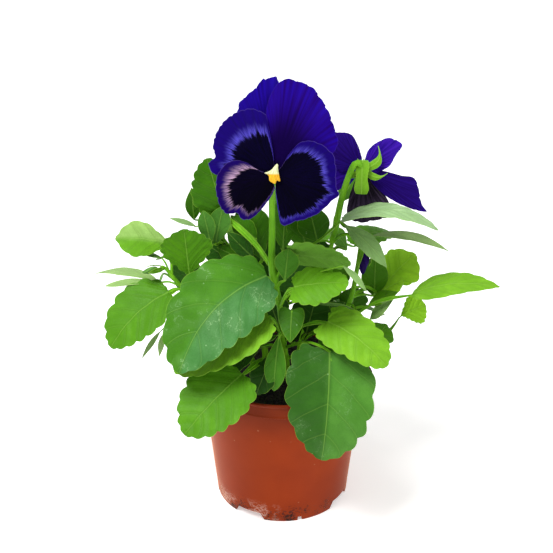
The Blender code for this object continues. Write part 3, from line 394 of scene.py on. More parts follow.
@dataclass(frozen=True)
class PetalPlan:
    """One petal: its free edge, given from the throat, how its veins set out, and its markings."""

    node: str
    edge: tuple[tuple[float, float], ...]
    axis: float
    layer: float
    marks: Marks
    fan: float = 0.2
    ruffle: float = 0.6
    waves: float = 3.0
    phase: float = 0.0


@dataclass(frozen=True)
class SepalPlan:
    """One green sepal: its turn about the bloom's axis, its length and width, and its lobe behind.

    curl is how far it bows sideways, and a blunt one ends broad.
    """

    turn: float
    length: float
    width: float
    lobe: float
    curl: float = 0.0
    blunt: bool = False


@dataclass(frozen=True)
class BloomPlan:
    """A flower: its throat, the way it faces, its up direction, its dishing, its petals and its sepals."""

    node: str
    throat: Point
    face: Point
    up: Point
    dish: float
    petals: tuple[PetalPlan, ...]
    sepals: tuple[SepalPlan, ...]


PLAIN_VIOLET = Marks((0.0, 0.10, 0.14, 0.10, 0.0), (0.60, 0.60), (0.0, 0.0),
                     Dye.ROYAL, Dye.VIOLET_BLUE, Dye.VIOLET_BLUE, rim=0.04)
PURPLE_VIOLET = Marks((0.0, 0.10, 0.14, 0.10, 0.0), (0.60, 0.60), (0.0, 0.0),
                      Dye.PURPLE, Dye.VIOLET_BLUE, Dye.VIOLET_BLUE, rim=0.04)
BACK_OF_PETAL = Marks((0.0, 0.0), (0.85, 0.75), (0.35, 0.55), Dye.ROYAL, Dye.LAVENDER, Dye.ROYAL)
SHADED_BACK = Marks((0.0, 0.0), (0.85, 0.75), (0.35, 0.55), Dye.DEEP_VIOLET, Dye.LAVENDER, Dye.INDIGO,
                    back=Dye.INDIGO_BACK)
DARK_BACK = Marks((0.0, 0.0), (0.85, 0.75), (0.35, 0.55), Dye.INK, Dye.LILAC, Dye.INK, back=Dye.GREY_LILAC)

MAIN_BLOOM = BloomPlan(
    node="shoot_front",
    throat=(-4.6, -40.0, 228.7),
    face=(0.0, -0.93, 0.36),
    up=(0.0, 0.36, 0.93),
    dish=-0.0022,
    petals=(
        PetalPlan(
            "petal_upper_left",
            ((-14, 12), (-20, 20), (-22, 28), (-19.5, 34), (-18.5, 38), (-14, 42), (-9.5, 46),
             (-6.5, 50), (-3, 50.5), (0.8, 51.3), (3, 46), (5.5, 38), (6.8, 24), (5.4, 12)),
            100, 0.0, PLAIN_VIOLET,
        ),
        PetalPlan(
            "petal_upper_right",
            ((-3.5, 12), (-5, 24), (-4, 36), (-1, 44), (2.5, 48.2), (6, 50), (10.5, 49.5), (15, 48),
             (20, 45.5), (24, 40.5), (27.5, 35), (30, 29), (32, 23), (33.5, 18), (33, 14), (29, 9)),
            70, 2.2, PURPLE_VIOLET,
        ),
        PetalPlan(
            "petal_side_left",
            ((-26, -0.4), (-32, 0.2), (-35, 5.5), (-31.5, 9), (-32.5, 14.5), (-31, 21), (-27, 27.5),
             (-20, 32.5), (-12.5, 34.5), (-5.5, 32), (-4, 29), (-3.4, 25.5), (-2.4, 21), (-1, 13),
             (-0.4, 8)),
            135, 4.4,
            Marks((0.80, 0.74, 0.68, 0.64, 0.70, 0.86), (0.92, 0.88, 0.84, 0.82, 0.90, 0.98),
                  (0.75, 0.95, 1.00, 1.00, 0.90, 0.35), Dye.INDIGO, Dye.LAVENDER, Dye.ROYAL),
        ),
        PetalPlan(
            "petal_side_right",
            ((0.4, -8), (0.9, -13), (1.8, -19), (4, -27), (11, -25), (17, -23.5), (24, -20), (30, -14.5),
             (34, -10.8), (32.5, -6), (32.5, 2), (31, 10), (25, 15.5), (19, 17.5), (13, 16.5), (7, 10)),
            -30, 4.4,
            Marks((0.84, 0.88, 0.88, 0.86, 0.78, 0.74, 0.70), (0.97, 0.97, 0.96, 0.95, 0.90, 0.92, 0.98),
                  (0.55, 0.70, 0.40, 0.85, 1.00, 0.70, 0.45), Dye.INDIGO, Dye.LAVENDER, Dye.ROYAL),
        ),
        PetalPlan(
            "petal_lip",
            ((-14, 6), (-19.5, 7.5), (-25, 6), (-30, 0), (-31, -7), (-29.5, -15), (-26, -20.5),
             (-19.5, -20.5), (-18, -23), (-14.5, -24), (-10, -21.5), (-5, -16), (-1.5, -11), (0.3, -7)),
            205, 6.6,
            Marks((0.62, 0.66, 0.80, 0.83, 0.86, 0.90, 0.90), (0.96, 0.92, 0.93, 0.94, 0.95, 0.95, 0.95),
                  (0.80, 1.00, 0.80, 0.50, 0.36, 0.10, 0.30), Dye.DEEP_VIOLET, Dye.ROSE_CREAM, Dye.INDIGO),
            fan=0.45,
        ),
    ),
    sepals=(SepalPlan(90, 14, 4.6, 5), SepalPlan(20, 13, 4.4, 4.5), SepalPlan(158, 13, 4.8, 5),
            SepalPlan(-48, 12, 4.2, 5.5), SepalPlan(232, 12, 4.4, 5)),
)

SIDE_BLOOM = BloomPlan(
    node="shoot_back_right",
    throat=(44.7, 0.0, 213.7),
    face=(0.12, 0.93, -0.34),
    up=(0.0, 0.34, 0.93),
    dish=0.002,
    petals=(
        PetalPlan("side_petal_upper_left",
                  ((-12, -1), (-22, 6), (-24, 14), (-20, 21), (-14, 21), (-7, 20), (-3, 14), (-0.6, 7)),
                  135, 0.0, SHADED_BACK),
        PetalPlan("side_petal_upper_right",
                  ((1.0, 6), (2.8, 11), (7, 15), (14.5, 18), (21.8, 14.2), (18.7, 9), (14.5, 2), (7, -2)),
                  45, 0.0, BACK_OF_PETAL),
        PetalPlan("side_petal_lower_left",
                  ((-7, 4), (-16, 3), (-24, -2), (-25, -10), (-18, -13), (-7, -8)),
                  190, 2.0, BACK_OF_PETAL),
        PetalPlan("side_petal_lower_right",
                  ((7, 0.5), (14.5, -1.2), (22, -3.3), (29.4, -5.4), (33, -19), (35.8, -23.5), (25, -21.2),
                   (13.4, -15.1), (5.5, -8)),
                  -33, 2.0, SHADED_BACK),
        PetalPlan("side_petal_bottom",
                  ((-5, -7), (-8, -16), (-9, -26), (-3, -30), (6, -29), (15, -26), (14, -17.2), (6.4, -7)),
                  -85, 4.0, DARK_BACK),
    ),
    sepals=(SepalPlan(-92, 13, 8.4, 8, blunt=True), SepalPlan(58, 16, 5.6, 4, curl=-4.5),
            SepalPlan(-6, 14, 4.4, 3.5, curl=-3.0), SepalPlan(84, 7, 3.4, 3), SepalPlan(114, 7, 3.4, 3),
            SepalPlan(212, 10, 3.8, 3.5)),
)

EYE_EDGE = ((-5.4, 0.8), (-2, 2.3), (1.4, 5.6), (2.0, 1.5), (2.9, -3.4), (1.2, -3.2), (0.2, -4.8),
            (-2.6, -3.3), (-3.2, -0.6))
EYE_DEPTH = (5.3, 6.2)


@dataclass(frozen=True)
class BudPlan:
    """A bud: its stalk, the line and radii of its furled petals, and the sepals that hold them."""

    node: str
    shoot: str
    root: float
    stalk: tuple[Point, ...]
    line: tuple[Point, ...]
    radii: tuple[float, ...]
    sepals: tuple[float, ...]
    sepal_width: float
    reach: float


BUDS = (
    BudPlan("bud_right", "shoot_back_right", 0.84, ((34, -1, 174), (42, -3, 174), (46.4, -4, 171)),
            ((46.5, -4, 167), (46.5, -5, 163), (46, -6, 158), (46, -6.5, 153), (46, -6.5, 151)),
            (1.6, 3.4, 3.9, 2.2, 0.8), (40, 150, 270), 4.0, 0.62),
    BudPlan("bud_left", "shoot_left", 0.97, ((-68, -2.4, 153), (-69.5, -2.7, 153.4)),
            ((-72, -3, 153), (-75, -4, 153), (-78, -5, 152.5), (-81, -6, 152)),
            (1.0, 2.0, 1.7, 0.6), (60, 180, 300), 3.2, 0.75),
)


def unit(v: np.ndarray | Point) -> np.ndarray:
    """The vector at length 1.

    Args:
        v: The vector.

    Returns:
        The same direction, one long.
    """
    made = np.asarray(v, float)
    return made / np.linalg.norm(made)


def smooth_line(points: list | tuple | np.ndarray, count: int) -> np.ndarray:
    """A smooth line that runs through the given points.

    Args:
        points: The points, of two or three numbers each.
        count: How many points to return.

    Returns:
        Count points spaced alike along the line.
    """
    p = np.array(points, float)
    p = np.vstack([2 * p[0] - p[1], p, 2 * p[-1] - p[-2]])
    spans = len(p) - 3
    fine = []
    for u in np.linspace(0, spans, 12 * spans + 1):
        i = min(int(u), spans - 1)
        t = u - i
        a, b, c, d = p[i : i + 4]
        bend = (2 * a - 5 * b + 4 * c - d) * t**2 + (3 * b - a - 3 * c + d) * t**3
        fine.append(b + 0.5 * ((c - a) * t + bend))
    line = np.array(fine)
    length = np.r_[0, np.cumsum(np.linalg.norm(np.diff(line, axis=0), axis=1))]
    wanted = np.linspace(0, length[-1], count)
    return np.column_stack([np.interp(wanted, length, line[:, k]) for k in range(line.shape[1])])


def spread(values: tuple[float, ...], shares: np.ndarray) -> np.ndarray:
    """Values read between a few that are spread evenly from 0 to 1.

    Args:
        values: The few values.
        shares: Where to read them, from 0 to 1.

    Returns:
        One value for each share.
    """
    return np.interp(shares, np.linspace(0, 1, len(values)), values)


def point_on(line: np.ndarray, share: float) -> np.ndarray:
    """The point at a share of the way along a line.

    Args:
        line: The line's points.
        share: The share, from 0 at its first point to 1 at its last.

    Returns:
        The point.
    """
    where = share * (len(line) - 1)
    low = min(int(where), len(line) - 2)
    return line[low] + (where - low) * (line[low + 1] - line[low])


def seeded(name: str) -> random.Random:
    """A source of random numbers that is always the same for a name.

    Args:
        name: The name.

    Returns:
        The source.
    """
    return random.Random(sum((i + 1) * ord(c) for i, c in enumerate(name)))


class Batch:
    """Sheets and tubes gathered into one mesh, with the values that their finish reads."""

    def __init__(self, name: str) -> None:
        """Starts an empty batch.

        Args:
            name: The piece's name.
        """
        self.name = name
        self.points: list[np.ndarray] = []
        self.faces: list[np.ndarray] = []
        self.places: list[np.ndarray] = []
        self.values: dict[str, list[np.ndarray]] = {}
        self.count = 0

    def add(self, points: np.ndarray, faces: np.ndarray, places: np.ndarray,
            values: dict[str, np.ndarray]) -> None:
        """Adds one closed body.

        Args:
            points: Its points, in millimetres.
            faces: Its four-sided faces.
            places: The two numbers of its surface map at each point.
            values: Three numbers at each point under each name.
        """
        self.points.append(points)
        self.faces.append(faces + self.count)
        self.places.append(places)
        for name, value in values.items():
            self.values.setdefault(name, []).append(value)
        self.count += len(points)

    def sheet(self, grid: np.ndarray, thickness: np.ndarray, relief: np.ndarray, places: np.ndarray,
              values: dict[str, np.ndarray], under: dict[str, np.ndarray] | None = None) -> None:
        """Adds a closed sheet through a grid of points.

        Args:
            grid: Rows and columns of points, seen with rows going away and columns to the right.
            thickness: The sheet's thickness at each point.
            relief: How far each point of both faces is raised.
            places: The surface map's two numbers at each point.
            values: The finish's three numbers at each point.
            under: Those of the lower face, where they differ.
        """
        rows, columns = grid.shape[:2]
        out = np.cross(np.gradient(grid, axis=1), np.gradient(grid, axis=0))
        out /= np.maximum(np.linalg.norm(out, axis=2, keepdims=True), 1e-9)
        top = grid + (relief + thickness / 2)[..., None] * out
        low = grid + (relief - thickness / 2)[..., None] * out
        index = np.arange(rows * columns).reshape(rows, columns)
        quads = np.stack([index[:-1, :-1], index[:-1, 1:], index[1:, 1:], index[1:, :-1]], -1).reshape(-1, 4)
        loop = np.r_[index[0, :-1], index[:-1, -1], index[-1, :0:-1], index[:0:-1, 0]]
        ahead = np.roll(loop, -1)
        half = rows * columns
        rim = np.column_stack([loop + half, ahead + half, ahead, loop])
        faces = np.vstack([quads, quads[:, ::-1] + half, rim])
        below = {**values, **(under or {})}
        both = {name: np.vstack([value.reshape(-1, 3), below[name].reshape(-1, 3)])
                for name, value in values.items()}
        spots = places.reshape(-1, 2)
        self.add(np.vstack([top.reshape(-1, 3), low.reshape(-1, 3)]), faces, np.vstack([spots, spots]), both)

    def piece(self, node: str, slot: str, finish: bpy.types.Material, crease: float = 55.0) -> bpy.types.Object:
        """Makes the piece and has it stand for its CAD node.

        Args:
            node: The CAD node that the piece stands for.
            slot: The record's material slot; not used.
            finish: The piece's material.
            crease: The angle, in degrees, above which an edge is shown sharp.

        Returns:
            The piece.
        """
        mesh = bpy.data.meshes.new(self.name)
        faces = np.vstack(self.faces)
        mesh.from_pydata((np.vstack(self.points) * MM).tolist(), [], faces.tolist())
        corner = np.empty(len(mesh.loops), np.int32)
        mesh.loops.foreach_get("vertex_index", corner)
        chart = mesh.uv_layers.new(name="chart")
        chart.data.foreach_set("uv", np.vstack(self.places)[corner].ravel().astype(np.float32))
        for name, parts in self.values.items():
            layer = mesh.attributes.new(name, "FLOAT_VECTOR", "POINT")
            layer.data.foreach_set("vector", np.vstack(parts).ravel().astype(np.float32))
        mesh.polygons.foreach_set("use_smooth", np.ones(len(mesh.polygons), bool))
        mesh.set_sharp_from_angle(angle=math.radians(crease))
        mesh.materials.append(finish)
        mesh.update()
        obj = bpy.data.objects.new(self.name, mesh)
        bpy.context.scene.collection.objects.link(obj)
        return settle(obj, node)


def settle(obj: bpy.types.Object, node: str) -> bpy.types.Object:
    """Has a finished piece ride on the plant and stand for its CAD node.

    Args:
        obj: The piece.
        node: The CAD node that it stands for.

    Returns:
        The piece.
    """
    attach(obj, BODY)
    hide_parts(node)
    log.info("%s: %d faces, stands for %s", obj.name, len(obj.data.polygons), node)
    return obj


class Graph:
    """Adds nodes to a tree and joins them."""

    def __init__(self, tree: bpy.types.NodeTree) -> None:
        """Takes the tree to add to.

        Args:
            tree: The node tree.
        """
        self.tree = tree

    def node(self, kind: str, **settings: object) -> bpy.types.Node:
        """Adds a node.

        Args:
            kind: Its type name.
            settings: Its options.

        Returns:
            The node.
        """
        made = self.tree.nodes.new(kind)
        for name, value in settings.items():
            setattr(made, name, value)
        return made

    def put(self, socket: bpy.types.NodeSocket, value: object) -> None:
        """Joins a socket to another, or sets its value.

        Args:
            socket: The input.
            value: An output socket, or a plain value.
        """
        if isinstance(value, bpy.types.NodeSocket):
            self.tree.links.new(value, socket)
        elif isinstance(value, Enum):
            socket.default_value = (*value.value, 1.0)
        elif isinstance(value, tuple) and len(value) == 3 and len(socket.default_value) == 4:
            socket.default_value = (*value, 1.0)
        else:
            socket.default_value = value

    def math(self, operation: str, a: object, b: object = 0.5, c: object = 0.5,
             clamp: bool = False) -> bpy.types.NodeSocket:
        """A sum or other working of up to three numbers.

        Args:
            operation: The working's name.
            a: The first number.
            b: The second.
            c: The third.
            clamp: Keeps the answer between 0 and 1.

        Returns:
            The answer.
        """
        made = self.node("ShaderNodeMath", operation=operation, use_clamp=clamp)
        for socket, value in zip(made.inputs, (a, b, c)):
            self.put(socket, value)
        return made.outputs[0]

    def step(self, value: object, low: float, high: float) -> bpy.types.NodeSocket:
        """A soft step, from 0 below low to 1 above high. With low above high it falls instead.

        Args:
            value: The number to read.
            low: Where the step gives 0.
            high: Where it gives 1.

        Returns:
            The step.
        """
        made = self.node("ShaderNodeMapRange", interpolation_type="SMOOTHSTEP")
        falls = low > high
        self.put(made.inputs["Value"], value)
        made.inputs["From Min"].default_value = min(low, high)
        made.inputs["From Max"].default_value = max(low, high)
        made.inputs["To Min"].default_value = 1.0 if falls else 0.0
        made.inputs["To Max"].default_value = 0.0 if falls else 1.0
        return made.outputs["Result"]

    def mix(self, share: object, a: object, b: object, blend: str = "MIX") -> bpy.types.NodeSocket:
        """Two colours mixed.

        Args:
            share: How much of the second.
            a: The first colour.
            b: The second.
            blend: How they mix.

        Returns:
            The mixed colour.
        """
        made = self.node("ShaderNodeMix", data_type="RGBA", blend_type=blend)
        self.put(made.inputs["Factor"], share)
        self.put(made.inputs[6], a)
        self.put(made.inputs[7], b)
        return made.outputs[2]

    def noise(self, place: bpy.types.NodeSocket, scale: float, detail: float = 2.0,
              roughness: float = 0.5) -> bpy.types.NodeSocket:
        """Cloudy noise.

        Args:
            place: The place to read.
            scale: How fine it is.
            detail: How many finer layers it has.
            roughness: How strong those are.

        Returns:
            The noise, about 0 to 1.
        """
        made = self.node("ShaderNodeTexNoise")
        self.put(made.inputs["Vector"], place)
        made.inputs["Scale"].default_value = scale
        made.inputs["Detail"].default_value = detail
        made.inputs["Roughness"].default_value = roughness
        return made.outputs[0]

    def split(self, vector: bpy.types.NodeSocket) -> list[bpy.types.NodeSocket]:
        """A vector's three numbers.

        Args:
            vector: The vector.

        Returns:
            The three.
        """
        made = self.node("ShaderNodeSeparateXYZ")
        self.put(made.inputs[0], vector)
        return list(made.outputs)

    def join(self, x: object = 0.0, y: object = 0.0, z: object = 0.0) -> bpy.types.NodeSocket:
        """Three numbers as a vector.

        Args:
            x: The first.
            y: The second.
            z: The third.

        Returns:
            The vector.
        """
        made = self.node("ShaderNodeCombineXYZ")
        for socket, value in zip(made.inputs, (x, y, z)):
            self.put(socket, value)
        return made.outputs[0]

    def value(self, name: str) -> bpy.types.NodeSocket:
        """The three numbers that a piece carries under a name.

        Args:
            name: The name.

        Returns:
            The numbers.
        """
        return self.node("ShaderNodeAttribute", attribute_name=name).outputs["Vector"]

    def place(self) -> bpy.types.NodeSocket:
        """The place on the piece, in metres.

        Returns:
            The place.
        """
        return self.node("ShaderNodeTexCoord").outputs["Object"]


class Effect:
    """A shared effect: a node group with named inputs and outputs."""

    def __init__(self, name: str, takes: dict[str, str], gives: dict[str, str]) -> None:
        """Makes the group's sockets.

        Args:
            name: The group's name.
            takes: The inputs' names and their socket types.
            gives: The outputs' names and their socket types.
        """
        self.tree = bpy.data.node_groups.new(name, "ShaderNodeTree")
        for label, kind in takes.items():
            self.tree.interface.new_socket(label, in_out="INPUT", socket_type=kind)
        for label, kind in gives.items():
            self.tree.interface.new_socket(label, in_out="OUTPUT", socket_type=kind)
        self.graph = Graph(self.tree)
        self.taken = self.graph.node("NodeGroupInput").outputs
        self.given = self.graph.node("NodeGroupOutput").inputs

    def give(self, **sockets: object) -> None:
        """Joins the group's outputs.

        Args:
            sockets: A socket or a value for each output.
        """
        for label, value in sockets.items():
            self.graph.put(self.given[label], value)


COLOUR = "NodeSocketColor"
NUMBER = "NodeSocketFloat"
VECTOR = "NodeSocketVector"


def speckle_effect() -> bpy.types.NodeTree:
    """Small dots, scattered unevenly: dust, pores and scars.

    Returns:
        The group: Place, Size (dots to the metre) and Amount give Dots.
    """
    effect = Effect("speckle", {"Place": VECTOR, "Size": NUMBER, "Amount": NUMBER}, {"Dots": NUMBER})
    graph = effect.graph
    cells = graph.node("ShaderNodeTexVoronoi")
    graph.put(cells.inputs["Vector"], effect.taken["Place"])
    graph.put(cells.inputs["Scale"], effect.taken["Size"])
    near = graph.step(cells.outputs["Distance"], 0.30, 0.16)
    red = graph.split(cells.outputs["Color"])[0]
    chosen = graph.math("GREATER_THAN", effect.taken["Amount"], red)
    effect.give(Dots=graph.math("MULTIPLY", near, chosen))
    return effect.tree


def leaf_effect(speckle: bpy.types.NodeTree) -> bpy.types.NodeTree:
    """A leaf blade's veins, margin, mottling and scars, with painted shade in its grooves and a painted sheen.

    Args:
        speckle: The shared dots.

    Returns:
        The group: Tone, Rib (reach, distance from the margin, vein phase) and Nature (upper face, scars,
        painted sheen) give Colour, Height and Roughness.
    """
    effect = Effect("leaf_blade", {"Tone": COLOUR, "Rib": VECTOR, "Nature": VECTOR, "Place": VECTOR},
                    {"Colour": COLOUR, "Height": NUMBER, "Roughness": NUMBER})
    graph = effect.graph
    reach, margin, phase = graph.split(effect.taken["Rib"])
    upper, scars, painted_sheen = graph.split(effect.taken["Nature"])
    place = effect.taken["Place"]
    wander = graph.math("MULTIPLY_ADD", graph.noise(place, 90.0), 0.10, phase)
    swing = graph.math("PINGPONG", graph.math("ADD", wander, 0.33), 0.5)
    lateral = graph.step(swing, 0.468, 0.496)
    groove = graph.step(swing, 0.34, 0.48)
    away = graph.math("ABSOLUTE", reach)
    midrib = graph.step(away, 0.60, 0.20)
    beside = graph.step(away, 2.6, 0.6)
    net = graph.node("ShaderNodeTexVoronoi", feature="DISTANCE_TO_EDGE")
    graph.put(net.inputs["Vector"], place)
    net.inputs["Scale"].default_value = 620.0
    mesh = graph.step(net.outputs["Distance"], 0.09, 0.0)
    clouds = graph.noise(place, 70.0, 3.0, 0.6)
    grain = graph.noise(place, 1500.0, 2.0, 0.7)
    tone = effect.taken["Tone"]
    dark = graph.mix(1.0, tone, (0.62, 0.68, 0.50), "MULTIPLY")
    light = graph.mix(1.0, tone, (1.75, 1.42, 1.60), "MULTIPLY")
    colour = graph.mix(graph.math("MULTIPLY", graph.step(clouds, 0.35, 0.70), 0.55), tone, dark)
    colour = graph.mix(graph.math("MULTIPLY", graph.step(clouds, 0.50, 0.30), 0.28), colour, light)
    # Painted shade: the vein grooves and the band beside the midrib are darkened as if shaded.
    colour = graph.mix(graph.math("MULTIPLY", groove, 0.40), colour, dark)
    colour = graph.mix(graph.math("MULTIPLY", beside, 0.35), colour, dark)
    colour = graph.mix(graph.math("MULTIPLY", mesh, 0.22), colour, dark)
    colour = graph.mix(graph.math("MULTIPLY", grain, 0.25), colour, light)
    pale = graph.mix(0.30, tone, (0.34, 0.58, 0.09))
    colour = graph.mix(graph.math("MULTIPLY", lateral, 0.26), colour, pale)
    colour = graph.mix(graph.math("MULTIPLY", midrib, 0.62), colour, pale)
    colour = graph.mix(graph.math("MULTIPLY", graph.step(margin, 0.35, 0.10), 0.34), colour, (0.30, 0.50, 0.05))
    dots = graph.node("ShaderNodeGroup", node_tree=speckle)
    graph.put(dots.inputs["Place"], place)
    dots.inputs["Size"].default_value = 520.0
    graph.put(dots.inputs["Amount"], graph.math("MULTIPLY_ADD", scars, 0.016, 0.004))
    winding = graph.math("ABSOLUTE", graph.math("SUBTRACT", graph.noise(place, 170.0, 3.0, 0.6), 0.5))
    scuffed = graph.math("MULTIPLY", graph.step(graph.noise(place, 75.0, 1.0), 0.52, 0.70), scars)
    scratch = graph.math("MULTIPLY", graph.step(winding, 0.016, 0.003), scuffed)
    marks = graph.math("MULTIPLY_ADD", scuffed, 0.05, graph.math("MULTIPLY", scratch, 0.34))
    marks = graph.math("MULTIPLY_ADD", dots.outputs["Dots"], 0.30, marks, clamp=True)
    colour = graph.mix(marks, colour, (0.34, 0.54, 0.26))
    below = graph.mix(0.35, colour, (0.17, 0.34, 0.07))
    colour = graph.mix(upper, below, colour)
    # Painted sheen: leaves in the first three greens are lightened towards a whitish green on both faces.
    colour = graph.mix(graph.math("MULTIPLY", painted_sheen, 0.40), colour, (0.36, 0.50, 0.26))
    height = graph.math("MULTIPLY_ADD", groove, -0.5, graph.math("MULTIPLY", clouds, 0.8))
    height = graph.math("MULTIPLY_ADD", midrib, 0.55, height)
    height = graph.math("MULTIPLY_ADD", lateral, 0.35, height)
    height = graph.math("MULTIPLY_ADD", mesh, -0.18, height)
    height = graph.math("MULTIPLY_ADD", grain, 0.25, height)
    rough = graph.math("MULTIPLY_ADD", grain, 0.22, 0.36)
    effect.give(Colour=colour, Height=height, Roughness=rough)
    return effect.tree


def petal_effect() -> bpy.types.NodeTree:
    """A petal's streaked blotch, its pale band that fades outwards, and painted highlights on its rim and outer part.

    Returns:
        The group: Way (share outwards, place along the edge in millimetres, face), Zone (distances past the
        blotch and before the band's end, the band's strength) and Rim_Gap (distances from the side and the
        outer edge, the throat's nearness) with Ground, Pale and Bright colours give Colour and Height.
    """
    takes = {"Way": VECTOR, "Zone": VECTOR, "Rim_Gap": VECTOR, "Ground": COLOUR, "Pale": COLOUR, "Bright": COLOUR,
             "Back": COLOUR, "Rim": NUMBER, "Place": VECTOR}
    effect = Effect("petal", takes, {"Colour": COLOUR, "Height": NUMBER})
    graph = effect.graph
    out, along, face = graph.split(effect.taken["Way"])
    past, before, glow = graph.split(effect.taken["Zone"])
    side, edge, near = graph.split(effect.taken["Rim_Gap"])
    place = effect.taken["Place"]
    fine = graph.join(graph.math("MULTIPLY", along, 2.5), graph.math("MULTIPLY", out, 3.2))
    rays = graph.noise(fine, 1.0, 2.5, 0.65)
    wide = graph.join(graph.math("MULTIPLY", along, 0.40), graph.math("MULTIPLY", out, 1.2), 4.0)
    broad = graph.noise(wide, 1.0, 2.0)
    clouds = graph.noise(place, 95.0, 3.0, 0.55)
    velvet = graph.noise(place, 2600.0, 1.5, 0.6)
    ragged = graph.math("MULTIPLY_ADD", graph.math("SUBTRACT", rays, 0.5), 0.26,
                        graph.math("MULTIPLY", graph.math("SUBTRACT", broad, 0.5), 0.20))
    crept = graph.math("ADD", past, ragged)
    blotch = graph.step(crept, 0.030, -0.020)
    width = graph.math("ADD", past, before)
    fade = graph.step(graph.math("DIVIDE", crept, graph.math("MAXIMUM", width, 0.02)), 0.95, 0.15)
    streak = graph.math("MULTIPLY", graph.step(rays, 0.36, 0.62), graph.step(broad, 0.20, 0.46))
    strength = graph.math("MULTIPLY_ADD", streak, 1.0, 0.04)
    band = graph.math("MULTIPLY", fade, graph.math("MULTIPLY", glow, strength))
    ground = effect.taken["Ground"]
    deep = graph.mix(1.0, ground, (0.32, 0.26, 0.30), "MULTIPLY")
    colour = graph.mix(graph.step(graph.math("MULTIPLY_ADD", broad, 0.35, out), 1.12, 0.55), ground, deep)
    colour = graph.mix(graph.math("MULTIPLY", graph.step(rays, 0.46, 0.72), 0.40), colour, deep)
    # Partly the petal's own lighter outer colour, partly a painted highlight: broad patches of the outer part go
    # towards the bright colour.
    lit = graph.math("MULTIPLY", graph.step(broad, 0.28, 0.66), graph.step(out, 0.48, 1.0))
    colour = graph.mix(graph.math("MULTIPLY", lit, 0.70), colour, effect.taken["Bright"])
    colour = graph.mix(band, colour, effect.taken["Pale"])
    colour = graph.mix(blotch, colour, Dye.INK)
    colour = graph.mix(graph.math("MULTIPLY", graph.math("MULTIPLY", velvet, band), 0.3), colour, ground)
    # Painted highlights: a thin lilac line along the outer edge, and along the sides near the throat, where the edges
    # catch the light.
    outer = graph.math("MULTIPLY", graph.step(edge, 0.40, 0.10), effect.taken["Rim"])
    side_edge_highlight = graph.math("MULTIPLY", graph.step(side, 0.42, 0.12), graph.math("MULTIPLY", near, 0.85))
    colour = graph.mix(graph.math("MAXIMUM", outer, side_edge_highlight), colour, Dye.LILAC)
    veined = graph.math("MULTIPLY_ADD", graph.step(rays, 0.40, 0.66), 0.55, graph.step(broad, 0.34, 0.62))
    back = graph.mix(graph.math("MULTIPLY", veined, 0.62, clamp=True), effect.taken["Back"], ground)
    colour = graph.mix(face, back, colour)
    height = graph.math("MULTIPLY_ADD", rays, 0.6, graph.math("MULTIPLY", velvet, 0.35))
    effect.give(Colour=colour, Height=graph.math("MULTIPLY_ADD", clouds, 0.6, height))
    return effect.tree


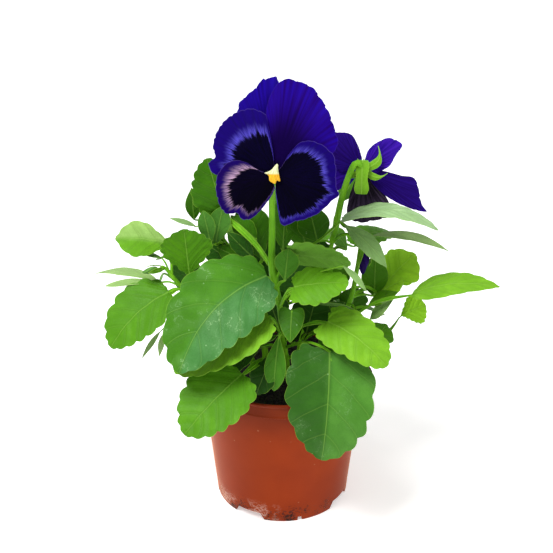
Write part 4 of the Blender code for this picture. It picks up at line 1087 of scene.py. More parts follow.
@dataclass(frozen=True)
class Finish:
    """How a surface takes the light.

    roughness, sheen and coat are shares; bump is the depth, in millimetres, of the surface's own relief;
    glow is how far light goes into it, in millimetres.
    """

    name: str
    roughness: float
    sheen: float = 0.0
    sheen_tint: Colour = (1.0, 1.0, 1.0)
    sheen_spread: float = 0.45
    coat: float = 0.0
    bump: float = 0.2
    glow: float = 0.0
    shine: float = 0.5

    def start(self) -> tuple[bpy.types.Material, Graph, bpy.types.Node]:
        """Makes the material with its plain settings.

        Returns:
            The material, its graph and its shader.
        """
        made = bpy.data.materials.new(self.name)
        made.use_nodes = True
        graph = Graph(made.node_tree)
        shader = made.node_tree.nodes["Principled BSDF"]
        shader.inputs["Roughness"].default_value = self.roughness
        shader.inputs["Specular IOR Level"].default_value = self.shine
        shader.inputs["Sheen Weight"].default_value = self.sheen
        shader.inputs["Sheen Tint"].default_value = (*self.sheen_tint, 1.0)
        shader.inputs["Sheen Roughness"].default_value = self.sheen_spread
        shader.inputs["Coat Weight"].default_value = self.coat
        shader.inputs["Coat Roughness"].default_value = 0.3
        if self.glow:
            shader.inputs["Subsurface Weight"].default_value = 0.25
            shader.inputs["Subsurface Scale"].default_value = self.glow * MM
        return made, graph, shader

    def relief(self, graph: Graph, shader: bpy.types.Node, height: bpy.types.NodeSocket) -> None:
        """Gives the surface its fine relief.

        Args:
            graph: The material's graph.
            shader: Its shader.
            height: The relief, about 0 to 1.
        """
        bump = graph.node("ShaderNodeBump")
        bump.inputs["Strength"].default_value = 0.8
        bump.inputs["Distance"].default_value = self.bump * MM
        graph.put(bump.inputs["Height"], height)
        graph.put(shader.inputs["Normal"], bump.outputs[0])

    def leaf(self, effect: bpy.types.NodeTree) -> bpy.types.Material:
        """The finish of a leaf blade.

        Args:
            effect: The leaf's pattern.

        Returns:
            The material.
        """
        made, graph, shader = self.start()
        group = graph.node("ShaderNodeGroup", node_tree=effect)
        graph.put(group.inputs["Tone"], graph.value("tone"))
        graph.put(group.inputs["Rib"], graph.value("rib"))
        graph.put(group.inputs["Nature"], graph.value("nature"))
        graph.put(group.inputs["Place"], graph.place())
        graph.put(shader.inputs["Base Color"], group.outputs["Colour"])
        graph.put(shader.inputs["Roughness"], group.outputs["Roughness"])
        self.relief(graph, shader, group.outputs["Height"])
        return made

    def petal(self, effect: bpy.types.NodeTree, marks: Marks) -> bpy.types.Material:
        """The finish of a petal.

        Args:
            effect: The petal's pattern.
            marks: The petal's colours.

        Returns:
            The material.
        """
        made, graph, shader = self.start()
        group = graph.node("ShaderNodeGroup", node_tree=effect)
        graph.put(group.inputs["Way"], graph.value("way"))
        graph.put(group.inputs["Zone"], graph.value("zone"))
        graph.put(group.inputs["Rim_Gap"], graph.value("rim_gap"))
        graph.put(group.inputs["Ground"], marks.ground)
        graph.put(group.inputs["Pale"], marks.pale)
        graph.put(group.inputs["Bright"], marks.bright)
        graph.put(group.inputs["Back"], marks.back)
        graph.put(group.inputs["Rim"], marks.rim)
        graph.put(group.inputs["Place"], graph.place())
        graph.put(shader.inputs["Base Color"], group.outputs["Colour"])
        self.relief(graph, shader, group.outputs["Height"])
        return made

    def mottled(self, light: Colour, dark: Colour, size: float, stretch: Point = (1.0, 1.0, 1.0)) -> bpy.types.Material:
        """A finish that wanders between two colours.

        Args:
            light: The lighter colour.
            dark: The darker.
            size: How many patches there are to the metre.
            stretch: How the patches are drawn out along each axis.

        Returns:
            The material.
        """
        made, graph, shader = self.start()
        drawn = graph.node("ShaderNodeMapping")
        graph.put(drawn.inputs["Vector"], graph.place())
        drawn.inputs["Scale"].default_value = stretch
        clouds = graph.noise(drawn.outputs[0], size, 3.0, 0.6)
        grain = graph.noise(graph.place(), size * 9, 2.0, 0.7)
        share = graph.math("MULTIPLY_ADD", grain, 0.4, graph.math("MULTIPLY", graph.step(clouds, 0.32, 0.66), 0.8))
        graph.put(shader.inputs["Base Color"], graph.mix(share, light, dark))
        self.relief(graph, shader, graph.math("ADD", clouds, graph.math("MULTIPLY", grain, 0.6)))
        return made


class Blade:
    """The surface of one leaf blade."""

    LEAST_HALF = 0.14
    RELIEF = 0.30

    def __init__(self, plan: LeafPlan) -> None:
        """Works out the blade's own directions.

        Args:
            plan: The leaf.
        """
        self.plan = plan
        self.outline: Outline = plan.form.value
        self.base = np.array(plan.base, float)
        self.tip = np.array(plan.tip, float)
        towards = unit(plan.faces)
        along = unit(self.tip - self.base)
        facing = unit(towards - (towards @ along) * along)
        side = np.cross(along, facing)
        turn = math.radians(plan.roll)
        self.facing = math.cos(turn) * facing + math.sin(turn) * side
        self.side = np.cross(along, self.facing)
        self.length = float(np.linalg.norm(self.tip - self.base))
        self.crest = (self.base + self.tip) / 2 + plan.arch * self.facing + plan.sweep * self.side

    def rib(self, t: float) -> tuple[np.ndarray, np.ndarray]:
        """The middle rib at a share of its length.

        Args:
            t: The share, from the base to the tip.

        Returns:
            The rib's point and its direction.
        """
        point = (1 - t) ** 2 * self.base + 2 * t * (1 - t) * self.crest + t**2 * self.tip
        return point, unit((1 - t) * (self.crest - self.base) + t * (self.tip - self.crest))

    def half_width(self, t: float, u: float, side: float) -> float:
        """Half the blade's width.

        Args:
            t: The share of the length.
            u: The same, crowded towards both ends.
            side: Which half, -1 or 1, since no two halves are quite alike.

        Returns:
            The half width in millimetres.
        """
        outline = self.outline
        power = math.log(0.5) / math.log(outline.widest)
        plain = self.plan.width / 2 * math.sin(math.pi * t**power) ** outline.roundness if 0 < t < 1 else 0.0
        uneven = 1 - 0.012 * (1 + math.sin(11 * u + 2.1 * side + self.length))
        return max(plain * uneven, self.LEAST_HALF)

    def notch(self, u: float, side: float) -> float:
        """How far the margin is drawn in by its scallops.

        Args:
            u: The share of the length, crowded towards both ends.
            side: Which half, -1 or 1.

        Returns:
            The distance in millimetres.
        """
        outline = self.outline
        along = outline.teeth * u + 0.14 * math.sin(5.1 * u + self.length) + 0.08 * math.sin(12.7 * u + side)
        bite = outline.bite * self.plan.width / 2 * (0.80 + 0.25 * math.sin(2.7 * along + side))
        return bite * (1 - math.sin(math.pi * (along % 1) ** 1.25) ** 0.75)

    def add_to(self, batch: Batch) -> None:
        """Adds the blade to a batch.

        Args:
            batch: The batch.
        """
        plan, outline = self.plan, self.outline
        rows, columns = outline.rows + 1, outline.columns + 1
        us = np.linspace(0, 1, rows)
        across = np.linspace(-1, 1, columns)
        across = np.sign(across) * np.abs(across) ** 0.85
        grid = np.zeros((rows, columns, 3))
        places = np.zeros((rows, columns, 2))
        rib = np.zeros((rows, columns, 3))
        bend = math.radians(plan.fold)
        seed = seeded(plan.name).random() * 90
        centre, _ = self.rib(0.5)
        for i, u in enumerate(us):
            t = (1 - math.cos(math.pi * u)) / 2
            middle, along = self.rib(t)
            side = unit(self.side - (self.side @ along) * along)
            normal = np.cross(side, along)
            for j, s in enumerate(across):
                half = self.half_width(t, u, math.copysign(1.0, s))
                reach = abs(s) * half
                share = 2 * reach / plan.width
                back = outline.heart * self.length * share**1.3 * (1 - t) ** 2.5
                height = reach * math.sin(bend) - plan.cup * share**2
                swing = plan.wave + 0.018 * plan.width
                height += swing * math.sin(4 * math.pi * u + (1.3 if s > 0 else 0) + seed) * share**2
                height += 0.006 * plan.width * math.sin(2 * math.pi * outline.teeth * u + seed) * share**3
                out = math.copysign(reach * math.cos(bend), s)
                point = middle + out * side + height * normal - back * along
                drawn = self.notch(u, math.copysign(1.0, s)) * abs(s) ** 6
                grid[i, j] = point + drawn * unit(centre - point)
                places[i, j] = (t, (s + 1) / 2)
                phase = outline.veins * (t - 0.26 * outline.slant * abs(s) ** 1.2 * (1 - 0.7 * t)) + 0.5
                rib[i, j] = (math.copysign(reach, s), half - reach, phase + 0.14 * s)
        size = min(1.0, plan.width / 30)
        phase = rib[..., 2]
        swell = np.abs(np.sin(np.pi * (phase + 0.33)))
        edge = np.clip(rib[..., 1] / 3.0, 0, 1)
        ends = np.clip(np.sin(np.pi * us) * 3, 0, 1)[:, None]
        relief = size * self.RELIEF * 1.9 * (swell**0.7 - 0.7) * edge * ends
        relief -= size * self.RELIEF * np.exp(-((rib[..., 0] / 1.1) ** 2)) * ends
        thickness = 0.22 + 0.14 * edge + 0.5 * size * np.exp(-((rib[..., 0] / 1.0) ** 2)) * ends * edge
        # Painted light and shade: a leaf with another tone shows it on its far half, as the light gives that half.
        first = np.array(plan.tone.value)
        second = np.array((plan.other or plan.tone).value)
        share = 1 / (1 + np.exp(-rib[..., 0] / 0.8))
        tone = first + (second - first) * share[..., None]
        # Painted sheen: the first three greens take a share of the whitish sheen colour on both faces.
        painted_sheen_share = 0.5 if plan.tone in (Tone.PALE, Tone.FROSTED, Tone.SILVER) else 0.0
        nature = np.broadcast_to((1.0, plan.scars, painted_sheen_share), grid.shape)
        below = np.broadcast_to((0.0, 0.0, painted_sheen_share), grid.shape)
        rib[..., 0] /= 0.40 + 1.0 * (1 - us[:, None]) ** 1.5
        values = {"tone": tone, "rib": rib, "nature": nature}
        batch.sheet(grid, thickness, relief, places, values, {"nature": below})


@dataclass(frozen=True)
class Strand:
    """A round stem or stalk: its middle line and its radius along it."""

    line: np.ndarray
    radii: np.ndarray


class Stems:
    """Round stems and stalks, swept along their lines."""

    SIDES = 10

    def __init__(self, name: str) -> None:
        """Starts with no stems.

        Args:
            name: The piece's name.
        """
        self.name = name
        self.strands: list[Strand] = []

    def add(self, line: np.ndarray, radii: tuple[float, ...]) -> None:
        """Adds a stem.

        Args:
            line: Its middle line, in millimetres.
            radii: Its radii, spread evenly along it.
        """
        self.strands.append(Strand(line, spread(radii, np.linspace(0, 1, len(line)))))

    def guide(self) -> bpy.types.Object:
        """The lines as one curve object that carries their radii.

        Returns:
            The object.
        """
        curve = bpy.data.curves.new(self.name, "CURVE")
        curve.dimensions = "3D"
        for strand in self.strands:
            spline = curve.splines.new("POLY")
            spline.points.add(len(strand.line) - 1)
            for target, point, radius in zip(spline.points, strand.line, strand.radii):
                target.co = (*(point * MM), 1.0)
                target.radius = radius
        obj = bpy.data.objects.new(self.name + "_lines", curve)
        bpy.context.scene.collection.objects.link(obj)
        return obj

    @classmethod
    def sweep(cls) -> bpy.types.NodeTree:
        """The tree that sweeps a ring along each line.

        Returns:
            The tree, with Thickness and Finish as its inputs.
        """
        known = bpy.data.node_groups.get("sweep_stems")
        if known:
            return known
        tree = bpy.data.node_groups.new("sweep_stems", "GeometryNodeTree")
        tree.interface.new_socket("Geometry", in_out="INPUT", socket_type="NodeSocketGeometry")
        tree.interface.new_socket("Thickness", in_out="INPUT", socket_type="NodeSocketFloat")
        tree.interface.new_socket("Finish", in_out="INPUT", socket_type="NodeSocketMaterial")
        tree.interface.new_socket("Geometry", in_out="OUTPUT", socket_type="NodeSocketGeometry")
        graph = Graph(tree)
        taken = graph.node("NodeGroupInput").outputs
        ring = graph.node("GeometryNodeCurvePrimitiveCircle")
        ring.inputs["Resolution"].default_value = cls.SIDES
        graph.put(ring.inputs["Radius"], taken["Thickness"])
        swept = graph.node("GeometryNodeCurveToMesh")
        graph.put(swept.inputs["Curve"], taken["Geometry"])
        graph.put(swept.inputs["Profile Curve"], ring.outputs["Curve"])
        swept.inputs["Fill Caps"].default_value = True
        if "Scale" in swept.inputs:
            graph.put(swept.inputs["Scale"], graph.node("GeometryNodeInputRadius").outputs[0])
        smooth = graph.node("GeometryNodeSetShadeSmooth")
        graph.put(smooth.inputs["Geometry"], swept.outputs["Mesh"])
        real = graph.node("GeometryNodeRealizeInstances")
        graph.put(real.inputs["Geometry"], smooth.outputs["Geometry"])
        dressed = graph.node("GeometryNodeSetMaterial")
        graph.put(dressed.inputs["Geometry"], real.outputs["Geometry"])
        graph.put(dressed.inputs["Material"], taken["Finish"])
        graph.put(graph.node("NodeGroupOutput").inputs["Geometry"], dressed.outputs["Geometry"])
        return tree

    def piece(self, node: str, finish: bpy.types.Material) -> bpy.types.Object:
        """Makes the piece.

        Args:
            node: The CAD node that it stands for.
            finish: Its material.

        Returns:
            The piece.
        """
        guide = self.guide()
        made = grown(guide, self.sweep(), {"Thickness": MM, "Finish": finish}, self.name)
        bpy.data.objects.remove(guide, do_unlink=True)
        return settle(made, node)


def grown(base: bpy.types.Object, tree: bpy.types.NodeTree, inputs: dict[str, object],
          name: str) -> bpy.types.Object:
    """Runs a geometry tree on an object, and keeps the answer as a plain mesh.

    Args:
        base: The object that the tree reads.
        tree: The tree.
        inputs: The tree's inputs, by name.
        name: The new piece's name.

    Returns:
        The new object.
    """
    modifier = base.modifiers.new("grow", "NODES")
    modifier.node_group = tree
    for socket in tree.interface.items_tree:
        if socket.item_type == "SOCKET" and socket.in_out == "INPUT" and socket.name in inputs:
            modifier[socket.identifier] = inputs[socket.name]
    bpy.context.view_layer.update()
    graph = bpy.context.evaluated_depsgraph_get()
    mesh = bpy.data.meshes.new_from_object(base.evaluated_get(graph), depsgraph=graph)
    base.modifiers.remove(modifier)
    mesh.name = name
    made = bpy.data.objects.new(name, mesh)
    bpy.context.scene.collection.objects.link(made)
    return made


class PetalSheet:
    """The surface of one petal."""

    START = 0.06
    FULL_REACH = 40.0
    SPREAD_OVER = 20.0

    def __init__(self, bloom: BloomPlan) -> None:
        """Works out the bloom's own directions.

        Args:
            bloom: The bloom.
        """
        self.bloom = bloom
        self.throat = np.array(bloom.throat, float)
        self.face = unit(bloom.face)
        self.right = unit(np.cross(np.array(bloom.up, float), self.face))
        if self.right[0] < 0:
            self.right = -self.right
        self.up = unit(bloom.up)

    def place(self, x: float, y: float, depth: float) -> np.ndarray:
        """The point at a place on the bloom.

        Args:
            x: How far to the right of the throat.
            y: How far up.
            depth: How far out of the bloom's face.

        Returns:
            The point.
        """
        return self.throat + x * self.right + y * self.up + depth * self.face

    def make(self, petal: PetalPlan, finish: bpy.types.Material, rows: int, columns: int) -> bpy.types.Object:
        """Makes one petal.

        Args:
            petal: The petal.
            finish: Its material.
            rows: How many steps run outwards.
            columns: How many run along its edge.

        Returns:
            The piece.
        """
        edge = smooth_line(petal.edge, columns + 1)
        length = np.r_[0, np.cumsum(np.linalg.norm(np.diff(edge, axis=0), axis=1))]
        turn = math.radians(petal.axis)
        axis = np.array([math.cos(turn), math.sin(turn)])
        shares = length / length[-1]
        marks = petal.marks
        blotch, band = spread(marks.blotch, shares), spread(marks.band, shares)
        glow = spread(marks.glow, shares)
        seed = seeded(petal.node)
        turns = [seed.random() * 6.28 for _ in range(5)]
        grid = np.zeros((rows + 1, columns + 1, 3))
        way, zone, gap = np.zeros_like(grid), np.zeros_like(grid), np.zeros_like(grid)
        places = np.zeros((rows + 1, columns + 1, 2))
        relief = np.zeros((rows + 1, columns + 1))
        for i in range(rows + 1):
            k = self.START + (1 - self.START) * (i / rows) ** 0.9
            for j, end in enumerate(edge):
                span = float(np.linalg.norm(end))
                control = 0.45 * span * unit((1 - petal.fan) * unit(end) + petal.fan * axis)
                crinkle = 0.006 * k**6 * math.sin(length[j] * 0.45 + turns[0])
                crinkle += 0.004 * k**6 * math.sin(length[j] * 1.3 + turns[1])
                nick = 0.014 * k**10 * max(0.0, math.sin(length[j] * 0.85 + turns[4])) ** 8
                x, y = 2 * k * (1 - k) * control + (k * k - abs(crinkle) - nick) * end
                out = math.hypot(x, y)
                depth = self.bloom.dish * out**2
                depth += petal.layer * (0.55 + 0.45 * min(1, out / self.SPREAD_OVER))
                reach = span / self.FULL_REACH
                swell = math.sin(2 * math.pi * petal.waves * shares[j] + petal.phase)
                depth += petal.ruffle * reach**2 * k**3 * swell
                grid[i, j] = self.place(x, y, depth)
                way[i, j] = (k, length[j] * 1.0, 1.0)
                zone[i, j] = (k - blotch[j], band[j] - k, glow[j])
                aside = min(shares[j], 1 - shares[j]) * length[-1] * (0.15 + 0.85 * k)
                gap[i, j] = (aside, (1 - k) * span, 1 - k)
                places[i, j] = (shares[j], k)
                relief[i, j] = 0.05 * reach * k**2 * math.sin(length[j] * 1.5 + turns[2])
                relief[i, j] += 0.32 * reach * k**4 * math.sin(length[j] * 0.35 + turns[3])
        normal = np.cross(np.gradient(grid, axis=1), np.gradient(grid, axis=0))
        if float((normal @ self.face).sum()) < 0:
            grid, way, zone, gap = (values[:, ::-1] for values in (grid, way, zone, gap))
            places, relief = places[:, ::-1], relief[:, ::-1]
        ends = np.sin(np.pi * np.linspace(0, 1, columns + 1)) ** 0.4
        relief = relief * ends
        behind = way.copy()
        behind[..., 2] = 0.0
        batch = Batch("dressed_" + petal.node)
        thickness = np.full(relief.shape, 0.30)
        values = {"way": way, "zone": zone, "rim_gap": gap}
        batch.sheet(grid, thickness, relief, places, values, {"way": behind})
        return batch.piece(petal.node, "petal", finish)


def strip(batch: Batch, line: np.ndarray, halves: np.ndarray, side: np.ndarray, tone: Tone,
          keel: float = 0.35) -> None:
    """Adds a narrow blade along a line: a sepal or its lobe.

    Args:
        batch: The batch to add to.
        line: Its middle line.
        halves: Half its width at each point.
        side: The way across it.
        tone: Its green.
        keel: How far its middle stands up.
    """
    columns = 9
    across = np.linspace(-1, 1, columns)
    grid = np.zeros((len(line), columns, 3))
    rib = np.zeros_like(grid)
    places = np.zeros((len(line), columns, 2))
    ahead = np.gradient(line, axis=0)
    for i, point in enumerate(line):
        out = unit(np.cross(side, ahead[i]))
        half = max(float(halves[i]), 0.12)
        for j, s in enumerate(across):
            grid[i, j] = point + s * half * side + keel * (1 - s * s) * min(1.0, half) * out
            rib[i, j] = (s * half, half * (1 - abs(s)), 0.5 + 0.2 * s)
            places[i, j] = (i / (len(line) - 1), (s + 1) / 2)
    flat = np.full(grid.shape[:2], 0.30)
    values = {"tone": np.broadcast_to(np.array(tone.value), grid.shape), "rib": rib,
              "nature": np.broadcast_to((1.0, 0.0, 0.0), grid.shape)}
    batch.sheet(grid, flat, np.zeros(grid.shape[:2]), places, values)


class Greenery:
    """The shoots: their stems, leaf stalks, leaves, calyces and bud sepals."""

    ROOT_HEIGHT = 62.0
    STALK_RADIUS = 1.0
    STALK_REACH = 0.12
    STALK_DROP = 1.4
    CALYX_DEPTH = 3.4
    SEPAL_SHARES = (0.30, 0.40, 0.50, 0.40, 0.12, 0.0)
    BLUNT_SHARES = (0.36, 0.46, 0.44, 0.38, 0.38, 0.46, 0.50, 0.36)
    BUD_SHARES = (0.30, 0.48, 0.50, 0.36, 0.0)

    def __init__(self, leaf: bpy.types.Material, stem: bpy.types.Material) -> None:
        """Takes the finishes.

        Args:
            leaf: The leaves' material.
            stem: The stems' material.
        """
        self.leaf = leaf
        self.stem = stem

    def stem_line(self, shoot: ShootPlan, count: int = 40) -> np.ndarray:
        """A shoot's middle line, from its root in the soil to its top.

        Args:
            shoot: The shoot.
            count: How many points it has.

        Returns:
            The points.
        """
        (x, y), *rest = shoot.path
        return smooth_line([(x, y, self.ROOT_HEIGHT), (x, y, self.ROOT_HEIGHT + 12), *rest], count)

    def stalk_line(self, leaf: LeafPlan, blade: Blade, line: np.ndarray) -> np.ndarray:
        """A leaf stalk's line, from its stem into the blade's base.

        Args:
            leaf: The leaf.
            blade: Its blade.
            line: Its stem.

        Returns:
            The points.
        """
        root = point_on(line, leaf.root)
        if leaf.via:
            path = [root, *[np.array(point, float) for point in leaf.via]]
        else:
            middle = (root + blade.base) / 2
            middle[2] += leaf.rise * np.linalg.norm(blade.base - root)
            path = [root, middle]
        into, _ = blade.rib(self.STALK_REACH)
        behind = self.STALK_DROP * min(1.0, leaf.width / 30) * blade.facing
        return smooth_line([*path, blade.base - behind, into - 0.5 * behind], 16)

    def make(self, shoot: ShootPlan) -> None:
        """Makes a shoot's two pieces.

        Args:
            shoot: The shoot.
        """
        line = self.stem_line(shoot)
        stems = Stems(shoot.node + "_stems")
        blades = Batch(shoot.node + "_leaves")
        stems.add(line, shoot.radius)
        for leaf in shoot.leaves:
            blade = Blade(leaf)
            blade.add_to(blades)
            thin = self.STALK_RADIUS * min(1.0, 0.55 + leaf.width / 60)
            stalk = self.stalk_line(leaf, blade, line)
            stems.add(stalk, (thin, thin * 0.85, thin * 0.8, thin * 0.3))
            self.wing(blades, leaf, blade, stalk)
        for stalk in STALKS:
            if stalk.node == shoot.node:
                path = [point_on(line, stalk.root), *[np.array(p, float) for p in stalk.path]]
                stems.add(smooth_line(path, 30), (2.1, 2.0, 1.8, 1.6))
        for bloom in (MAIN_BLOOM, SIDE_BLOOM):
            if bloom.node == shoot.node:
                self.calyx(bloom, blades, stems)
        for bud in BUDS:
            if bud.shoot == shoot.node:
                self.bud_sepals(bud, line, blades, stems)
        stems.piece(shoot.node, self.stem)
        blades.piece(shoot.node, "leaf", self.leaf)

    def wing(self, blades: Batch, leaf: LeafPlan, blade: Blade, stalk: np.ndarray) -> None:
        """Adds the flat wings that run down a leaf's stalk from its blade.

        Args:
            blades: Where they go.
            leaf: The leaf.
            blade: Its blade.
            stalk: The stalk's line.
        """
        size = min(1.0, 0.35 + leaf.width / 46)
        shares = np.linspace(0, 1, len(stalk))
        halves = size * spread((1.2, 1.3, 1.5, 1.9, 2.1, 1.1, 0.15), shares)
        lifted = stalk + (0.25 * size * shares**0.5)[:, None] * blade.facing
        # Painted shade: the wings of leaves in the shade greens take the deep green too.
        tone = Tone.DEEP if leaf.tone in (Tone.SHADE, Tone.DEEP) else Tone.STALK
        strip(blades, lifted, halves, blade.side, tone, keel=-0.4)

    def calyx(self, bloom: BloomPlan, blades: Batch, stems: Stems) -> None:
        """Adds the green cup behind a bloom.

        Args:
            bloom: The bloom.
            blades: Where the sepals go.
            stems: Where the cup's middle goes.
        """
        sheet = PetalSheet(bloom)
        middle = [sheet.place(0, 0, -self.CALYX_DEPTH + d) for d in (-2.5, -1.6, -0.2, 1.6, 2.4)]
        stems.add(np.array(middle), (1.0, 2.0, 2.5, 2.0, 0.8))
        for sepal in bloom.sepals:
            turn = math.radians(sepal.turn)
            c, s = math.cos(turn), math.sin(turn)
            behind = -self.CALYX_DEPTH
            stations = (
                (0.45 * sepal.lobe + 0.8, behind - sepal.lobe), (1.7, behind - 0.8),
                (0.5 * sepal.length, behind - 0.3), (sepal.length, behind + 0.5),
            )
            if sepal.blunt:
                stations = (
                    (-0.45 * sepal.length, behind - 3.4), (0.0, behind - 4.6),
                    (0.5 * sepal.length, behind - 3.8), (sepal.length, behind - 1.6),
                )
            line = smooth_line([sheet.place(out * c, out * s, depth) for out, depth in stations], 18)
            across = c * sheet.up - s * sheet.right
            shares = np.linspace(0, 1, 18)
            line = line + (sepal.curl * np.sin(np.pi * shares**1.5))[:, None] * across
            halves = sepal.width * spread(self.BLUNT_SHARES if sepal.blunt else self.SEPAL_SHARES, shares)
            strip(blades, line, halves, across, Tone.LIME, keel=-0.35)

    def bud_sepals(self, bud: BudPlan, line: np.ndarray, blades: Batch, stems: Stems) -> None:
        """Adds a bud's stalk, its neck and the sepals that hold its petals.

        Args:
            bud: The bud.
            line: The stem that it grows from.
            blades: Where the sepals go.
            stems: Where the stalk goes.
        """
        path = [point_on(line, bud.root), *[np.array(point, float) for point in bud.stalk]]
        stems.add(smooth_line(path, 20), (1.1, 1.0, 0.95, 0.95))
        neck, tip = path[-1], np.array(bud.line[-1], float)
        axis = unit(tip - neck)
        first = unit(np.cross(axis, (1.0, 0.0, 0.0) if abs(axis[0]) < 0.7 else (0.0, 0.0, 1.0)))
        second = np.cross(axis, first)
        stems.add(np.array([neck + axis * d for d in (-1.5, -0.8, 0.0, 0.8, 1.5)]), (0.7, 1.3, 1.6, 1.3, 0.6))
        body = smooth_line(bud.line, 7)
        radii = spread(bud.radii, np.linspace(0, 1, 7))
        last = round(bud.reach * 6)
        for angle in bud.sepals:
            turn = math.radians(angle)
            out = math.cos(turn) * first + math.sin(turn) * second
            across = math.cos(turn) * second - math.sin(turn) * first
            clear = [body[k] + (radii[k] + 0.75) * out for k in range(1, last + 1)]
            points = [neck + 0.3 * out, neck + (0.5 * radii[1] + 0.8) * out + 0.8 * axis, *clear]
            halves = bud.sepal_width * spread(self.BUD_SHARES, np.linspace(0, 1, 16))
            strip(blades, smooth_line(points, 16), halves, across, Tone.LIGHT, keel=-0.3)


class Throat:
    """The domed orange patch at the throat of the large bloom, with cream tongues beside it."""

    def __init__(self, bloom: BloomPlan) -> None:
        """Takes the bloom.

        Args:
            bloom: The bloom.
        """
        self.sheet = PetalSheet(bloom)

    def make(self, finish: bpy.types.Material) -> None:
        """Makes the patch.

        Args:
            finish: Its material.
        """
        columns, rows = 72, 14
        edge = smooth_line([*EYE_EDGE, EYE_EDGE[0]], columns + 1)
        low, high = EYE_DEPTH
        batch = Batch("dressed_throat")
        grid = np.zeros((rows + 1, columns + 1, 3))
        value = np.zeros_like(grid)
        places = np.zeros((rows + 1, columns + 1, 2))
        for i in range(rows + 1):
            k = i / rows
            for j, (x, y) in enumerate(edge):
                dome = (high - low) * (1 - k**2.5)
                grid[i, j] = self.sheet.place(x * max(k, 0.01), y * max(k, 0.01), low + dome * 0.9)
                value[i, j] = (x * k, y * k, k)
                places[i, j] = (j / columns, k)
        top = grid[:, :-1]
        flat = grid.copy()[:, :-1] * 0 + self.sheet.throat
        for i in range(rows + 1):
            for j in range(columns):
                x, y = edge[j]
                k = max(i / rows, 0.01)
                flat[i, j] = self.sheet.place(x * k, y * k, low)
        count = (rows + 1) * columns
        index = np.arange(count).reshape(rows + 1, columns)
        nxt = np.roll(index, -1, axis=1)
        quads = np.stack([index[:-1], nxt[:-1], nxt[1:], index[1:]], -1).reshape(-1, 4)
        points = np.vstack([top.reshape(-1, 3), flat.reshape(-1, 3)])
        faces = np.vstack([quads, quads[:, ::-1] + count])
        rim = np.column_stack([index[-1], nxt[-1], nxt[-1] + count, index[-1] + count])
        hub = np.column_stack([nxt[0], index[0], index[0] + count, nxt[0] + count])
        a, b, c = points[faces[columns * 4][:3]]
        if float(np.cross(b - a, c - a) @ self.sheet.face) < 0:
            faces = faces[:, ::-1]
            rim, hub = rim[:, ::-1], hub[:, ::-1]
        faces = np.vstack([faces, rim[:, ::-1], hub[:, ::-1]])
        values = np.vstack([value[:, :-1].reshape(-1, 3)] * 2)
        spots = np.vstack([places[:, :-1].reshape(-1, 2)] * 2)
        batch.add(points, faces, spots, {"way": values})
        batch.piece("throat_patch", "throat", finish)


class Bud:
    """The furled petals of a bud: a swollen body with twisted edges."""

    ROWS = 40
    COLUMNS = 48

    def __init__(self, plan: BudPlan) -> None:
        """Takes the bud.

        Args:
            plan: The bud.
        """
        self.plan = plan

    def make(self, finish: bpy.types.Material) -> None:
        """Makes the furled petals.

        Args:
            finish: Their material.
        """
        line = smooth_line(self.plan.line, self.ROWS + 1)
        radii = spread(self.plan.radii, np.linspace(0, 1, self.ROWS + 1))
        radii = np.convolve(np.pad(radii, 3, mode="edge"), np.ones(7) / 7, mode="valid")
        radii = radii * np.clip(np.sin(np.pi * np.linspace(0.04, 0.985, self.ROWS + 1)) * 3.5, 0.05, 1)
        ahead = np.gradient(line, axis=0)
        across = unit(np.cross(ahead[0], (0.3, 1.0, 0.1)))
        points, way, spots = [], [], []
        for i, point in enumerate(line):
            along = unit(ahead[i])
            across = unit(across - (across @ along) * along)
            other = np.cross(along, across)
            share = i / self.ROWS
            for j in range(self.COLUMNS):
                turn = 2 * math.pi * j / self.COLUMNS
                fold = (3 * (turn + 2.2 * share)) % (2 * math.pi) / (2 * math.pi)
                radius = radii[i] * (0.90 + 0.10 * fold**2 + 0.015 * math.sin(17 * turn))
                points.append(point + radius * (math.cos(turn) * across + math.sin(turn) * other))
                way.append((share, fold, turn))
                spots.append((share, turn / (2 * math.pi)))
        rows = self.ROWS + 1
        index = np.arange(rows * self.COLUMNS).reshape(rows, self.COLUMNS)
        nxt = np.roll(index, -1, axis=1)
        faces = [np.stack([index[:-1], nxt[:-1], nxt[1:], index[1:]], -1).reshape(-1, 4)]
        for ring, turned in ((index[0], False), (index[-1], True)):
            half = self.COLUMNS // 2
            for j in range(1, half):
                quad = [ring[j - 1], ring[self.COLUMNS - j], ring[self.COLUMNS - j - 1], ring[j]]
                quad = quad if not turned else quad[::-1]
                if len(set(int(v) for v in quad)) == 4:
                    faces.append(np.array([quad]))
        mesh = bpy.data.meshes.new("dressed_" + self.plan.node)
        bm = bmesh.new()
        verts = [bm.verts.new(Vector(p * MM)) for p in np.array(points)]
        for quad in faces[0]:
            bm.faces.new([verts[v] for v in quad])
        bm.faces.new([verts[v] for v in index[0][::-1]])
        bm.faces.new([verts[v] for v in index[-1]])
        bmesh.ops.recalc_face_normals(bm, faces=bm.faces)
        bm.to_mesh(mesh)
        bm.free()
        layer = mesh.attributes.new("way", "FLOAT_VECTOR", "POINT")
        layer.data.foreach_set("vector", np.array(way, np.float32).ravel())
        mesh.polygons.foreach_set("use_smooth", np.ones(len(mesh.polygons), bool))
        mesh.materials.append(finish)
        obj = bpy.data.objects.new(mesh.name, mesh)
        bpy.context.scene.collection.objects.link(obj)
        settle(obj, self.plan.node)


